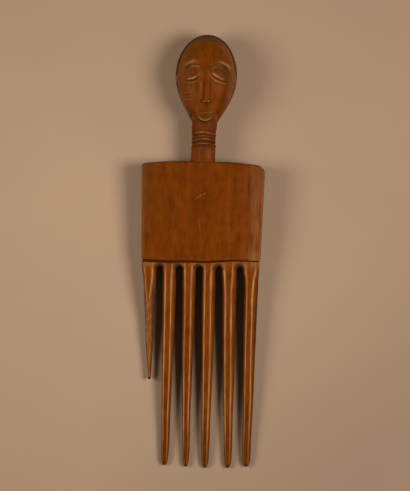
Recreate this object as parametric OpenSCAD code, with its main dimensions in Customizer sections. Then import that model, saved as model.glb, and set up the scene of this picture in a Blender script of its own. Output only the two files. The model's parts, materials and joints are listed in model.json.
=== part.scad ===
// Carved wooden comb: an oval head on a ringed neck, a flat plate and six long teeth.
// X runs across the comb, Y along it towards the head, Z out of the front.
// The carved sections are drawn flat about their mid-plane with Y zero at the incised line,
// then the whole comb is laid on its back, on the head and the tips of the teeth.

/* [Plate] */
// Height of the plate from the incised line to the seat of the neck
plate_h = 59.8; // [40:0.2:90]
// Width of the plate at its widest, near the top
plate_top_w = 74.2; // [60:0.2:100]
// Width of the plate at the incised line
plate_base_w = 71.6; // [60:0.2:100]
// Thickness of the plate at the top
plate_top_t = 12; // [8:0.2:18]
// Thickness of the plate at the incised line
plate_base_t = 10.4; // [7:0.2:16]
// How far the top corners lie below the seat of the neck
plate_arch_drop = 2; // [0.5:0.1:5]
// Radius of the top right corner
right_corner_r = 4.6; // [1:0.1:10]
// Radius of the top left corner
left_corner_r = 1.8; // [0.5:0.1:10]
// Bevel along the edges of the plate
plate_bevel = 1.2; // [0.3:0.1:2.5]

/* [Tooth rail] */
// Width of the band that carries the teeth
rail_w = 70.6; // [60:0.2:100]
// Thickness of the band
rail_t = 9.6; // [6:0.2:14]
// Height of the band from the incised line to the middle of the round roots
rail_h = 5.2; // [4:0.1:10]
// Width of the incised line
incision_w = 1.3; // [0.5:0.1:2]
// Depth of the incised line below the band, front and back
incision_depth = 0.9; // [0.3:0.1:2]
// Width of each gap between the teeth at its round root
gap_w = 4.2; // [2.5:0.1:6]
// Bevel around the mouth of each gap
gap_bevel = 1.9; // [0.4:0.1:2]

/* [Teeth] */
// Length of the longest tooth below the band
tooth_l = 120.2; // [70:0.2:180]
// Width of a tooth at its tip
tip_w = 4.1; // [2:0.1:7]
// Thickness of a tooth at its tip
tip_t = 3.8; // [2:0.1:7]
// Width of the stub of the broken tooth at its end
stub_w = 1.8; // [1:0.1:4]

/* [Neck] */
// Length of the neck from the plate to the chin
neck_l = 23.6; // [20:0.2:40]
// Width of the neck where it grows out of the plate
neck_foot_w = 15; // [11:0.2:24]
// Height of the whittled foot of the neck
neck_foot_h = 5.8; // [3:0.2:9]
// Diameter of the neck under its rings
neck_d = 13.6; // [10:0.2:20]
// Pitch of the rings
ring_pitch = 2.25; // [1.6:0.05:2.6]
// Thickness of one ring along the neck
ring_t = 1.6; // [0.8:0.05:1.6]
// How far a ring stands out of the neck
ring_relief = 0.75; // [0.3:0.05:1.5]
// Lean of the rings, front edge towards the head
ring_lean = 10; // [0:1:14]

/* [Head] */
// Length of the head from chin to crown
head_l = 52.5; // [36:0.5:80]
// Width of the hair cap at its widest
head_w = 36.8; // [28:0.2:56]
// Width of the edge of the hair cap that shows on each side of the face
cap_rim_w = 1.1; // [0.6:0.1:3]
// Width of the jaw where it meets the neck
jaw_w = 15; // [11:0.2:22]
// Depth of the face in front of the mid-plane
face_depth = 13; // [8:0.2:20]
// Depth of the hair cap behind the mid-plane
cap_depth = 15.5; // [9:0.2:24]
// Height of the edge of the hair cap above the top of the face
cap_edge = 0.9; // [0.3:0.1:3]
// Height of the nose above the face
nose_relief = 3; // [1:0.1:5]
// Width of the nose at its wings
nose_w = 6; // [3:0.1:9]
// Length of the nose
nose_l = 24.5; // [14:0.5:32]
// Distance between the middles of the eyes
eye_spacing = 18.4; // [13:0.2:24]
// Width of each eye over its outer lid line
eye_w = 11.6; // [7:0.2:14]
// Height of each eye over its outer lid line
eye_h = 12.6; // [7:0.2:16]
// Height of the lid lines above the face
eye_relief = 1.1; // [0.4:0.1:2.5]
// Width of the mouth
mouth_w = 9.6; // [5:0.2:13]
// Height of the mouth
mouth_h = 5.4; // [3:0.2:8]
// Height of the lips above the face
mouth_relief = 1.4; // [0.4:0.1:3]
// Height of each ear
ear_h = 13; // [7:0.2:20]
// How far the ears stand out past the widest place of the hair cap
ear_proud = 0.1; // [0:0.1:4]
// How far the ears stand up from the edge of the hair cap
ear_relief = 4.2; // [1.5:0.1:7]

/* [Hidden] */

wood_colour = "#7f4718";
dark_wood_colour = "#4f2a10";
worn_wood_colour = "#94582a";

// One overrun serves every cut
cut_over = plate_top_t;
round_fn = 64;

// Heights along the comb where the sections meet
chin_y = plate_h + neck_l;
crown_y = chin_y + head_l;
root_y = -rail_h;

// Width of the face at its widest, inside the edge of the hair cap
face_w = head_w - 2 * cap_rim_w;

// Gaps: places of their middles as shares of half the band, left to right
gap_place_shares = [-0.7, -0.365, -0.025, 0.306, 0.669];
gap_r = gap_w / 2;
gap_x = [for (share = gap_place_shares) share * rail_w / 2];
tooth_count = len(gap_x) + 1;
broken_tooth = 0;

// Teeth: tip places as shares of half the band, then lengths and tip widths as shares
tip_place_shares = [-0.833, -0.535, -0.172, 0.158, 0.549, 0.861];
length_shares = [0.56, 0.991, 0.996, 1, 0.997, 0.989];
tip_width_shares = [1, 1, 0.92, 1, 1.04, 1.2];
// Stations along a whole tooth, with how far it has thinned there and how the tip rounds off
station_shares = [0, 0.04, 0.2, 0.37, 0.54, 0.71, 0.88, 0.955, 0.988, 1];
taper_shares = [0, 0.1, 0.22, 0.38, 0.58, 0.78, 0.94, 1, 1, 1];
// How much further towards the tip width each tooth has thinned below its root: the outer one is slimmer
slimmer_shares = [0, 0, 0, 0, 0, 0.22];
rounding_shares = [1, 1, 1, 1, 1, 1, 1, 0.93, 0.7, 0.4];
// Stations along the broken tooth, with how much of its front half is left below the break
stub_station_shares = [0, 0.06, 0.2, 0.34, 0.42, 0.66, 0.92, 1];
stub_taper_shares = [0, 0.08, 0.19, 0.33, 0.42, 0.62, 0.94, 1];
stub_front_shares = [1, 1, 0.94, 0.8, 0.45, 0.25, 0.12, 0.06];
chamfer_share = 0.24;

// Outline of the head: where it is widest, as a share of its length from the chin
widest_share = 0.53;
// Depth at the chin as a share of the full depth, front and back
chin_depth_share = 0.8;
nape_depth_share = 0.43;
// Roundness of the cross-section, where 2 is an ellipse
face_power = 2.4;
cap_power = 2.2;
jaw_rows = 20;
crown_rows = 26;
face_columns = 30;
cap_row_step = 2;
cap_columns = 24;

// Places on the face as shares of its length from the chin
nose_tip_share = 0.215;
eye_middle_share = 0.572;
mouth_middle_share = 0.07;
ear_middle_share = 0.525;
// Slope of the nose from its bridge to its tip, and the bluntness of the relief edges
bridge_relief_share = 0.3;
bridge_width_share = 0.5;
lid_line_share = 0.22;

ring_count = 5;
// How far the lowest ring reaches down at the back, where it leans on the foot
ring_back_drop = (neck_d / 2 + ring_relief) * sin(ring_lean) + ring_t / 2;
ring_low_y = plate_h + neck_foot_h + ring_back_drop;
// How far the planes of the whittled flats clear the shaft where the foot ends
foot_flat_clear = 0.8;
arch_steps = 8;

// Shared shape functions

function mix(a, b, share) = a + (b - a) * share;
function clamp01(v) = min(1, max(0, v));
function smooth(v) = let (c = clamp01(v)) c * c * (3 - 2 * c);
function bump(distance, reach) = 1 - smooth(abs(distance) / reach);

// Faces of a closed solid through rings of points that follow one another down the comb
function ring_faces(rings, sides) = concat(
    [[for (i = [0:1:sides - 1]) i]],
    [for (r = [0:1:rings - 2], i = [0:1:sides - 1])
        let (j = (i + 1) % sides, a = r * sides, b = a + sides) [a + i, b + i, b + j]],
    [for (r = [0:1:rings - 2], i = [0:1:sides - 1])
        let (j = (i + 1) % sides, a = r * sides, b = a + sides) [a + i, b + j, a + j]],
    [[for (i = [sides - 1:-1:0]) (rings - 1) * sides + i]]
);

// Head outline and cross-section

function head_rows() = concat(
    [for (i = [0:1:jaw_rows - 1]) widest_share * i / jaw_rows],
    [for (i = [0:1:crown_rows - 1]) mix(widest_share, 1, sin(90 * i / crown_rows))]
);

function half_width(share, full_w) = share < widest_share
    ? mix(jaw_w / 2, full_w / 2, sin(90 * share / widest_share))
    : full_w / 2 * crown_round(share);

function crown_round(share) =
    let (rise = (share - widest_share) / (1 - widest_share)) sqrt(max(0, 1 - rise * rise));

function middle_depth(share, full_depth, low_share) = full_depth * (share < widest_share
    ? mix(low_share, 1, sin(90 * share / widest_share))
    : pow(crown_round(share), 0.9));

function section(t, power) = pow(max(0, 1 - pow(abs(t), power)), 1 / power);

// Columns are spread evenly over the middle and closer at the edges
function column(j, columns) = let (x = 2 * j / columns - 1) (x + sin(90 * x)) / 2;

// Face relief

function nose_height(x, share) =
    let (
        along = (share - nose_tip_share) * head_l / nose_l,
        wide = nose_w / 2 * mix(1, bridge_width_share, clamp01(along)),
        high = mix(1, bridge_relief_share, clamp01(along))
    )
    along < 0 || along > 1 ? 0 : nose_relief * high * bump(x, wide * 1.3);

function eye_height(x, share) =
    let (
        across = (abs(x) - eye_spacing / 2) / (eye_w / 2),
        up = (share - eye_middle_share) * head_l / (eye_h / 2),
        from_middle = sqrt(across * across + up * up)
    )
    eye_relief * (bump(from_middle - 1, lid_line_share)
        + bump(from_middle - 0.5, lid_line_share)
        + bump(from_middle, 0.4) / 2);

function mouth_height(x, share) =
    let (
        across = x / (mouth_w / 2),
        up = (share - mouth_middle_share) * head_l / (mouth_h / 2),
        from_middle = sqrt(across * across + up * up)
    )
    mouth_relief * bump(from_middle, 1.3);

function face_z(t, share) =
    let (x = t * half_width(share, face_w), skin = section(t, face_power))
    skin * middle_depth(share, face_depth, chin_depth_share)
        + smooth(skin * 2) * (nose_height(x, share) + eye_height(x, share) + mouth_height(x, share));

// Points of a half head: the flat edge line and the dome, row by row, then the crown

function face_points() =
    let (rows = head_rows(), face_l = head_l - cap_edge)
    concat(
        [for (s = rows, j = [0:1:face_columns])
            let (t = column(j, face_columns))
            [t * half_width(s, face_w), chin_y + s * face_l, face_z(t, s)]],
        [[0, chin_y + face_l, 0]]
    );

function cap_rows() = let (rows = head_rows()) [for (i = [0:cap_row_step:len(rows) - 1]) rows[i]];

function cap_points() =
    concat(
        [for (s = cap_rows(), j = [0:1:cap_columns])
            let (t = column(j, cap_columns))
            [t * half_width(s, head_w), chin_y + s * head_l,
                -section(t, cap_power) * middle_depth(s, cap_depth, nape_depth_share)]],
        [[0, crown_y, 0]]
    );

// Faces of a half head: dome, flat mid-plane, flat end at the neck and the fan at the crown
function dome_faces(rows, columns) =
    let (line = columns + 1, apex = rows * line)
    concat(
        [for (r = [0:1:rows - 2], j = [0:1:columns - 1])
            let (a = r * line + j, b = a + line) [a, b, b + 1]],
        [for (r = [0:1:rows - 2], j = [0:1:columns - 1])
            let (a = r * line + j, b = a + line) [a, b + 1, a + 1]],
        [for (j = [0:1:columns - 1]) let (a = (rows - 1) * line + j) [a, apex, a + 1]],
        [concat(
            [for (r = [0:1:rows - 1]) r * line + columns],
            [apex],
            [for (r = [rows - 1:-1:0]) r * line]
        )],
        [[for (j = [0:1:columns]) j]]
    );

function reversed(face) = [for (i = [len(face) - 1:-1:0]) face[i]];

module face() {
    color(wood_colour)
        polyhedron(points = face_points(), faces = dome_faces(len(head_rows()), face_columns));
}

module hair_cap() {
    faces = dome_faces(len(cap_rows()), cap_columns);
    color(dark_wood_colour)
        polyhedron(points = cap_points(), faces = [for (f = faces) reversed(f)]);
}

// Each ear is a crescent that stands on the edge of the hair cap, outside the face

function face_outline() =
    let (rows = head_rows(), face_l = head_l - cap_edge)
    concat(
        [for (s = rows) [half_width(s, face_w), chin_y + s * face_l]],
        [[0, chin_y + face_l]],
        [for (i = [len(rows) - 1:-1:0])
            [-half_width(rows[i], face_w), chin_y + rows[i] * face_l]]
    );

module ear(side) {
    ear_reach = head_w / 2 + ear_proud;
    inner_x = face_w - ear_reach;
    color(wood_colour)
        linear_extrude(ear_relief)
            difference() {
                translate([side * inner_x, chin_y + ear_middle_share * head_l])
                    scale([2 * (ear_reach - inner_x), ear_h])
                        circle(d = 1, $fn = round_fn);
                polygon(face_outline());
            }
}

// Neck: a round foot that narrows to the shaft, with a flat whittled front and back to its foot,
// which come flush with the plate

module neck_turned_shape() {
    translate([0, plate_h, 0])
        rotate([-90, 0, 0])
            rotate_extrude($fn = round_fn)
                polygon([
                    [0, 0],
                    [neck_foot_w / 2, 0],
                    [neck_d / 2, neck_foot_h],
                    [neck_d / 2, neck_l],
                    [0, neck_l]
                ]);
}

module neck_side_profile() {
    foot_top_z = neck_d / 2 + foot_flat_clear;
    polygon([
        [plate_h, -plate_top_t / 2],
        [plate_h + neck_foot_h, -foot_top_z],
        [chin_y, -foot_top_z],
        [chin_y, foot_top_z],
        [plate_h + neck_foot_h, foot_top_z],
        [plate_h, plate_top_t / 2]
    ]);
}

module neck() {
    color(wood_colour)
        intersection() {
            neck_turned_shape();
            translate([-neck_foot_w, 0, 0])
                rotate([90, 0, 90])
                    linear_extrude(2 * neck_foot_w)
                        neck_side_profile();
        }
}

module neck_shaft_bore() {
    translate([0, plate_h, 0])
        rotate([-90, 0, 0])
            cylinder(d = neck_d, h = neck_l, $fn = round_fn);
}

module ring_bead() {
    rotate([-ring_lean - 90, 0, 0])
        rotate_extrude($fn = round_fn)
            translate([neck_d / 2, 0])
                scale([2 * ring_relief, ring_t])
                    circle(d = 1, $fn = 32);
}

module neck_rings() {
    color(worn_wood_colour)
        difference() {
            for (i = [0:1:ring_count - 1])
                translate([0, ring_low_y + i * ring_pitch, 0])
                    ring_bead();
            neck_shaft_bore();
        }
}

// Plate: its front outline, cut to its side profile and to its bevelled cross-section

function arch_y(x) =
    let (
        seat = neck_foot_w / 2,
        run = clamp01((abs(x) - seat) / (plate_top_w / 2 - seat))
    )
    plate_h - plate_arch_drop * run * run;

function corner_arc(r, side) =
    let (middle_x = plate_top_w / 2 - r, middle_y = arch_y(middle_x) - r)
    [for (i = [0:1:6]) [side * (middle_x + r * cos(15 * i)), middle_y + r * sin(15 * i)]];

function arch_points() =
    let (seat = neck_foot_w / 2)
    concat(
        [for (i = [arch_steps - 1:-1:0])
            let (x = mix(seat, plate_top_w / 2 - right_corner_r, i / arch_steps)) [x, arch_y(x)]],
        [for (i = [0:1:arch_steps - 1])
            let (x = mix(seat, plate_top_w / 2 - left_corner_r, i / arch_steps)) [-x, arch_y(x)]]
    );

module plate_outline() {
    polygon(concat(
        [[-plate_base_w / 2, 0], [plate_base_w / 2, 0]],
        corner_arc(right_corner_r, 1),
        arch_points(),
        reversed(corner_arc(left_corner_r, -1))
    ));
}

module plate_side_profile() {
    polygon([
        [0, -plate_base_t / 2],
        [plate_h, -plate_top_t / 2],
        [plate_h, plate_top_t / 2],
        [0, plate_base_t / 2]
    ]);
}

// Rectangle with its four corners cut off, centred
module bevelled_section(wide, thick, bevel) {
    x = wide / 2;
    z = thick / 2;
    polygon([
        [bevel - x, -z], [x - bevel, -z], [x, bevel - z], [x, z - bevel],
        [x - bevel, z], [bevel - x, z], [-x, z - bevel], [-x, bevel - z]
    ]);
}

module plate() {
    color(wood_colour)
        intersection() {
            translate([0, 0, -cut_over])
                linear_extrude(2 * cut_over)
                    plate_outline();
            translate([-plate_top_w, 0, 0])
                rotate([90, 0, 90])
                    linear_extrude(2 * plate_top_w)
                        plate_side_profile();
            translate([0, plate_h + cut_over, 0])
                rotate([90, 0, 0])
                    linear_extrude(plate_h + 2 * cut_over)
                        bevelled_section(plate_top_w, plate_top_t, plate_bevel);
        }
}

// Tooth rail: the thinner web of the incised line, then the band with the round, bevelled roots

module root_cut() {
    cylinder(r = gap_r, h = 2 * cut_over, center = true, $fn = round_fn);
    for (side = [-1, 1])
        translate([0, 0, side * (rail_t / 2 - gap_bevel)])
            rotate([side < 0 ? 180 : 0, 0, 0])
                cylinder(r1 = gap_r, r2 = gap_r + gap_bevel, h = gap_bevel, $fn = round_fn);
}

module rail_length(from_y, to_y, inset) {
    translate([0, to_y, 0])
        rotate([90, 0, 0])
            linear_extrude(to_y - from_y)
                bevelled_section(rail_w - 2 * inset, rail_t - 2 * inset, gap_bevel);
}

module tooth_rail() {
    color(worn_wood_colour)
        difference() {
            union() {
                rail_length(-incision_w, 0, incision_depth);
                rail_length(root_y, -incision_w, 0);
            }
            for (x = gap_x)
                translate([x, root_y, 0])
                    root_cut();
        }
}

// Teeth: eight-sided, thinned from the root, with rounded tips

function root_left(i) = i == 0 ? -rail_w / 2 : gap_x[i - 1] + gap_r;
function root_right(i) = i == tooth_count - 1 ? rail_w / 2 : gap_x[i] - gap_r;
function tooth_length(i) = tooth_l * length_shares[i];

function tooth_ring(middle_x, y, wide, front, back, chamfer) =
    let (x = wide / 2)
    [
        [middle_x - x + chamfer, y, -back],
        [middle_x + x - chamfer, y, -back],
        [middle_x + x, y, chamfer - back],
        [middle_x + x, y, front - chamfer],
        [middle_x + x - chamfer, y, front],
        [middle_x - x + chamfer, y, front],
        [middle_x - x, y, front - chamfer],
        [middle_x - x, y, chamfer - back]
    ];

// One station of a whole tooth, with its chamfer equal to the bevel of the gap at the root
function whole_station(i, k) =
    let (
        along = station_shares[k],
        taper = k == 0 ? 0 : mix(taper_shares[k], 1, slimmer_shares[i]),
        rounding = rounding_shares[k],
        root_w = root_right(i) - root_left(i),
        root_x = (root_right(i) + root_left(i)) / 2,
        wide = mix(root_w, tip_w * tip_width_shares[i], taper) * rounding,
        thick = mix(rail_t, tip_t, along) * mix(1, rounding, 0.7)
    )
    tooth_ring(
        mix(root_x, tip_place_shares[i] * rail_w / 2, along),
        root_y - along * tooth_length(i),
        wide,
        thick / 2,
        thick / 2,
        k == 0 ? gap_bevel : chamfer_share * min(wide, thick)
    );

// One station of the broken tooth, whose front half has split away below the break
function stub_station(i, k) =
    let (
        along = stub_station_shares[k],
        root_w = root_right(i) - root_left(i),
        root_x = (root_right(i) + root_left(i)) / 2,
        wide = mix(root_w, stub_w, stub_taper_shares[k]),
        back = mix(rail_t, tip_t, along * length_shares[i]) / 2,
        front = back * stub_front_shares[k]
    )
    tooth_ring(
        mix(root_x, tip_place_shares[i] * rail_w / 2, along),
        root_y - along * tooth_length(i),
        wide,
        front,
        back,
        k == 0 ? gap_bevel : chamfer_share * min(wide, front + back)
    );

function tooth_points(i) = i == broken_tooth
    ? [for (k = [0:1:len(stub_station_shares) - 1]) each stub_station(i, k)]
    : [for (k = [0:1:len(station_shares) - 1]) each whole_station(i, k)];

module tooth(i) {
    points = tooth_points(i);
    color(worn_wood_colour)
        polyhedron(points = points, faces = ring_faces(len(points) / 8, 8));
}

// Lying pose: the comb leans until the back of the head and the tips touch one flat surface

function lowest(points, lean) = min([for (p = points) p[1] * sin(lean) + p[2] * cos(lean)]);
function rest_lean(low, high, tries) =
    let (lean = (low + high) / 2)
    tries == 0 ? lean
    : lowest(cap_points(), lean) < lowest(tooth_tip_points, lean) ? rest_lean(lean, high, tries - 1)
    : rest_lean(low, lean, tries - 1);

longest_tooth = 3;
tooth_tip_points = tooth_points(longest_tooth);
lean = rest_lean(0, 45, 24);
drop = lowest(tooth_tip_points, lean);
turned_y = [for (p = concat(cap_points(), face_points(), tooth_tip_points))
    p[1] * cos(lean) - p[2] * sin(lean)];
middle_y = (max(turned_y) + min(turned_y)) / 2;

module lay_down() {
    translate([0, -middle_y, -drop])
        rotate([lean, 0, 0])
            children();
}

lay_down() face();
lay_down() hair_cap();
lay_down() ear(-1);  // left_ear
lay_down() ear(1);  // right_ear
lay_down() neck();
lay_down() neck_rings();
lay_down() plate();
lay_down() tooth_rail();
lay_down() tooth(0);  // tooth_1
lay_down() tooth(1);  // tooth_2
lay_down() tooth(2);  // tooth_3
lay_down() tooth(3);  // tooth_4
lay_down() tooth(4);  // tooth_5
lay_down() tooth(5);  // tooth_6
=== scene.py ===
"""Dress the carved comb: hand-worked surfaces, wood finishes, studio light, floor and camera.

Every shape is drawn in the comb's own coordinates, in millimetres: X across the comb, Y along it
towards the head with zero at the incised line, Z out of the front. LyingPose then lays each
piece down where the frame has it, in metres. On the face, x runs across it and h is the height
above the chin.
"""

from __future__ import annotations

import functools
import itertools
import json
import logging
import math
from dataclasses import dataclass, field, replace
from enum import Enum
from typing import Callable, Optional, Sequence

import bpy
import numpy as np
from mathutils import Matrix, Vector


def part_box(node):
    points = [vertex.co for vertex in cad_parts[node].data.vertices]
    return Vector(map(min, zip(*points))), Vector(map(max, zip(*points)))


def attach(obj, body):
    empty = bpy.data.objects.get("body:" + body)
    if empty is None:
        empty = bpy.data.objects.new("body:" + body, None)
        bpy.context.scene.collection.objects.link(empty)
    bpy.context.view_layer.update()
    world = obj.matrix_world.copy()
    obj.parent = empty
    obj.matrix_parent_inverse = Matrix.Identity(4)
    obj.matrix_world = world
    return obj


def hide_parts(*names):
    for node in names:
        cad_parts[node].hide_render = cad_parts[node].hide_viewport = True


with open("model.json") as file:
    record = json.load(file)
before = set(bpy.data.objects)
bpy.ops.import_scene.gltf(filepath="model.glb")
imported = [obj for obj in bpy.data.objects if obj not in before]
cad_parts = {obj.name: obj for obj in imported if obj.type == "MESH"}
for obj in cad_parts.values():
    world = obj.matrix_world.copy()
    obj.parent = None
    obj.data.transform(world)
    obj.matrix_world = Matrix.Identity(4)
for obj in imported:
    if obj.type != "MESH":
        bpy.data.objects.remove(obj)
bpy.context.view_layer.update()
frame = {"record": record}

Array = np.ndarray
MM = 0.001
BODY = "root"
# Painted traits. The dirt also carries painted shade in places; the shade is painted shade in
# hollows and under overhangs, and on the plate darker patches of the wood's tone.
TRAITS = ("wear", "dirt", "bare", "shade")
SHARP_EDGE_DEG = 50
NOISE_OFFSET = 31.7
NOISE_PRIMES = np.array([73856093, 19349663, 83492791])
NOISE_SEED_STEP = 7919
NOISE_SCRAMBLE = 1274126177
log = logging.getLogger("comb")


# Small numeric helpers


def mix(low: Array, high: Array, share: Array) -> Array:
    """Return the value that lies the given share of the way from low to high."""
    return low + (high - low) * share


def smooth(value: Array) -> Array:
    """Ease a value from 0 to 1, flat at both ends."""
    held = np.clip(value, 0.0, 1.0)
    return held * held * (3.0 - 2.0 * held)


def ramp(value: Array, start: Array, width: Array) -> Array:
    """Ease from 0 at the start to 1 one width further on; a negative width eases downwards."""
    return smooth((value - start) / width)


def bump(distance: Array, reach: float) -> Array:
    """Return 1 at no distance, easing to 0 at the reach."""
    return 1.0 - smooth(np.abs(distance) / reach)


def noise(points: Array, cell: Sequence[float], seed: int) -> Array:
    """Return smooth noise between -1 and 1.

    Args:
        points: places, whose last axis is x, y and z.
        cell: size of one noise cell along each axis, in the units of the points.
        seed: picks one of many fixed patterns.

    Returns:
        One value for each place.
    """
    scaled = points / np.asarray(cell, dtype=float) + NOISE_OFFSET * (seed + 1)
    base = np.floor(scaled).astype(np.int64)
    part = smooth(scaled - base)
    total = np.zeros(points.shape[:-1])
    for corner in itertools.product((0, 1), repeat=3):
        key = (base + corner) @ NOISE_PRIMES + seed * NOISE_SEED_STEP
        key = (key ^ (key >> 13)) * NOISE_SCRAMBLE & 0xFFFFFFFF
        value = ((key ^ (key >> 16)) & 0xFFFF) / 32767.5 - 1.0
        total += value * np.prod(np.where(corner, part, 1.0 - part), axis=-1)
    return total


def patches(points: Array, cell: Sequence[float], seed: int, spread: float = 0.0) -> Array:
    """Return soft patches from 0 to 1, which cover more of the wood the higher the spread is."""
    return np.clip(spread + noise(points, cell, seed), 0.0, 1.0)


@dataclass(frozen=True)
class Marks:
    """Uneven tool marks: how deep they go, the size of one mark and the pattern's seed."""

    depth: float
    cell: tuple[float, float, float]
    seed: int

    def at(self, points: Array) -> Array:
        """Return the height of the marks at each point."""
        return self.depth * noise(points, self.cell, self.seed)


@dataclass(frozen=True)
class Spot:
    """A soft upright oval, carved or painted on one side of the middle line or on both."""

    middle: tuple[float, float]
    reach: tuple[float, float]
    strength: float = 1.0
    both_sides: bool = False

    def at(self, x: Array, y: Array) -> Array:
        """Find the strength of the oval.

        Args:
            x: places across.
            y: places upwards.

        Returns:
            Its whole strength in its middle, easing to 0 at its reach.
        """
        across = (np.abs(x) if self.both_sides else x) - self.middle[0]
        up = y - self.middle[1]
        return self.strength * bump(np.hypot(across / self.reach[0], up / self.reach[1]), 1.0)


# The comb's own sizes, as the model has them


@dataclass(frozen=True)
class CombSizes:
    """Sizes in millimetres that more than one carved section takes."""

    plate_h: float = 59.8
    plate_top_t: float = 12.0
    plate_base_t: float = 10.4
    neck_l: float = 23.6
    neck_foot_w: float = 15.0
    neck_d: float = 13.6
    neck_low_w: float = 14.6
    neck_high_d: float = 15.1
    jaw_w: float = 15.0
    rail_w: float = 70.6
    rail_t: float = 9.6
    rail_h: float = 5.2
    gap_w: float = 3.9
    gap_bevel: float = 1.9
    flank_share: float = 0.26
    gap_shares: tuple[float, ...] = (-0.7, -0.365, -0.025, 0.306, 0.669)
    head_x: float = 0.35
    crown_x: float = 0.45
    neck_x: float = -0.2
    chin_h: float = 1.05
    chin_curve: float = 0.11
    line_places: tuple[float, ...] = (-35.0, -30.0, -20.0, -8.0, 4.0, 11.0, 20.0, 35.0)
    line_rises: tuple[float, ...] = (0.5, 0.4, 0.0, 0.35, 0.1, 0.8, 1.35, 1.1)

    def line_y(self, x: Array) -> Array:
        """Height of the incised line above its straight course, as the hand cut it."""
        nearby = [np.interp(x + step, self.line_places, self.line_rises) for step in (-3, -1, 1, 3)]
        return sum(nearby) / len(nearby)

    def chin_line(self, x: Array) -> Array:
        """Height of the round edge of the chin over the end of the head."""
        return self.chin_h + self.chin_curve * x * x

    @property
    def chin_y(self) -> float:
        """Place of the chin along the comb."""
        return self.plate_h + self.neck_l

    def head_shift(self, y: Array) -> Array:
        """Sideways place of the head's middle line, which drifts to the right towards the crown."""
        h = y - self.chin_y
        return self.head_x * (0.3 + 0.7 * smooth(h / 10.0)) + self.crown_x * ramp(h, 38.0, 14.0)

    def flank_w(self, side: int) -> float:
        """Width of the bevel at a tooth's root: narrower on its left (-1) than on its right (1)."""
        return self.gap_bevel * (1.0 + side * self.flank_share)

    @property
    def gap_x(self) -> list[float]:
        """Middles of the gaps between the teeth."""
        return [share * self.rail_w / 2 for share in self.gap_shares]

    @property
    def teeth(self) -> range:
        """Numbers of the teeth, from the left."""
        return range(len(self.gap_shares) + 1)

    def root_span(self, index: int) -> tuple[float, float]:
        """Left and right side of a tooth where it leaves the rail."""
        edges = [-self.rail_w / 2 - self.gap_w / 2, *self.gap_x, self.rail_w / 2 + self.gap_w / 2]
        return edges[index] + self.gap_w / 2, edges[index + 1] - self.gap_w / 2

    def flat_span(self, index: int) -> tuple[float, float]:
        """Left and right end of the flat between the bevels over a tooth's root."""
        left, right = self.root_span(index)
        return left + self.flank_w(-1), right - self.flank_w(1)


@dataclass(frozen=True)
class LyingPose:
    """Lays the comb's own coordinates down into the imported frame."""

    lean: float
    shift_y: float
    shift_z: float

    @classmethod
    def from_frame(cls, sizes: CombSizes) -> "LyingPose":
        """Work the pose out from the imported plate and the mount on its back.

        Args:
            sizes: the comb's own sizes.

        Returns:
            The pose in which the comb lies on its back.
        """
        axis = frame["record"]["mounts"][0]["axis"]
        taper = math.atan2((sizes.plate_top_t - sizes.plate_base_t) / 2, sizes.plate_h)
        lean = math.atan2(axis[1], -axis[2]) + taper
        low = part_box("plate")[0]
        half = sizes.plate_base_t / 2
        return cls(lean, low[1] / MM + half * math.sin(lean), low[2] / MM + half * math.cos(lean))

    def lay(self, points: Array) -> Array:
        """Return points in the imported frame, in metres.

        Args:
            points: places in the comb's own millimetres, one row each.

        Returns:
            The same places, laid down.
        """
        place = Matrix.Translation(Vector((0.0, self.shift_y, self.shift_z)) * MM)
        turned = np.array(place @ Matrix.Rotation(self.lean, 4, "X") @ Matrix.Scale(MM, 4))
        return points @ turned[:3, :3].T + turned[:3, 3]


# Meshes


@dataclass
class Shape:
    """Points, faces and painted traits of one carved section, in the comb's own millimetres."""

    points: Array
    faces: list[Sequence[int]]
    traits: dict[str, Array] = field(default_factory=dict)
    handled: Optional[Array] = None

    def volume(self) -> float:
        """Measure the volume.

        Returns:
            The signed volume, which is positive where the faces point outwards.
        """
        total = 0.0
        for count in sorted({len(face) for face in self.faces}):
            ring = np.array([face for face in self.faces if len(face) == count])
            first = self.points[ring[:, 0]]
            for step in range(1, count - 1):
                second, third = self.points[ring[:, step]], self.points[ring[:, step + 1]]
                total += float(np.einsum("ij,ij->i", first, np.cross(second, third)).sum())
        return total / 6.0

    def outward(self) -> "Shape":
        """Turn the faces round if they point inwards.

        Returns:
            The shape.
        """
        if self.volume() < 0.0:
            self.faces = [tuple(reversed(face)) for face in self.faces]
        return self

    def moved(self, across: float | Callable[[Array], Array]) -> "Shape":
        """Shift the shape sideways.

        Args:
            across: one distance, or a function that gives it for each place along the comb.

        Returns:
            The shape.
        """
        self.points = self.points.copy()
        self.points[:, 0] += across(self.points[:, 1]) if callable(across) else across
        return self

    def sheltered(self, *seams: float, reach: float) -> "Shape":
        """Keep rubbing and dirt off the places where this section runs on into the next.

        Args:
            *seams: places along the comb where the section ends inside the wood.
            reach: how far from a seam its marks come back.

        Returns:
            The shape.
        """
        away = np.min([np.abs(self.points[:, 1] - seam) for seam in seams], axis=0)
        self.handled = smooth(away / reach)
        return self


def loft(loops: Array, traits: dict[str, Array]) -> Shape:
    """Join closed loops of points into a closed solid with a flat face at each end.

    Args:
        loops: points as rows by around by 3.
        traits: painted values as rows by around.

    Returns:
        The solid, with its faces outwards.
    """
    rows, around, _ = loops.shape
    row, col = np.meshgrid(np.arange(rows - 1), np.arange(around), indexing="ij")
    nxt = (col + 1) % around
    low, high = row * around, (row + 1) * around
    quads = np.stack([low + col, low + nxt, high + nxt, high + col], axis=-1).reshape(-1, 4)
    faces: list[Sequence[int]] = [tuple(quad) for quad in quads.tolist()]
    faces.append(tuple(range(around - 1, -1, -1)))
    faces.append(tuple(range((rows - 1) * around, rows * around)))
    painted = {name: values.reshape(-1) for name, values in traits.items()}
    return Shape(loops.reshape(-1, 3), faces, painted).outward()


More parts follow.
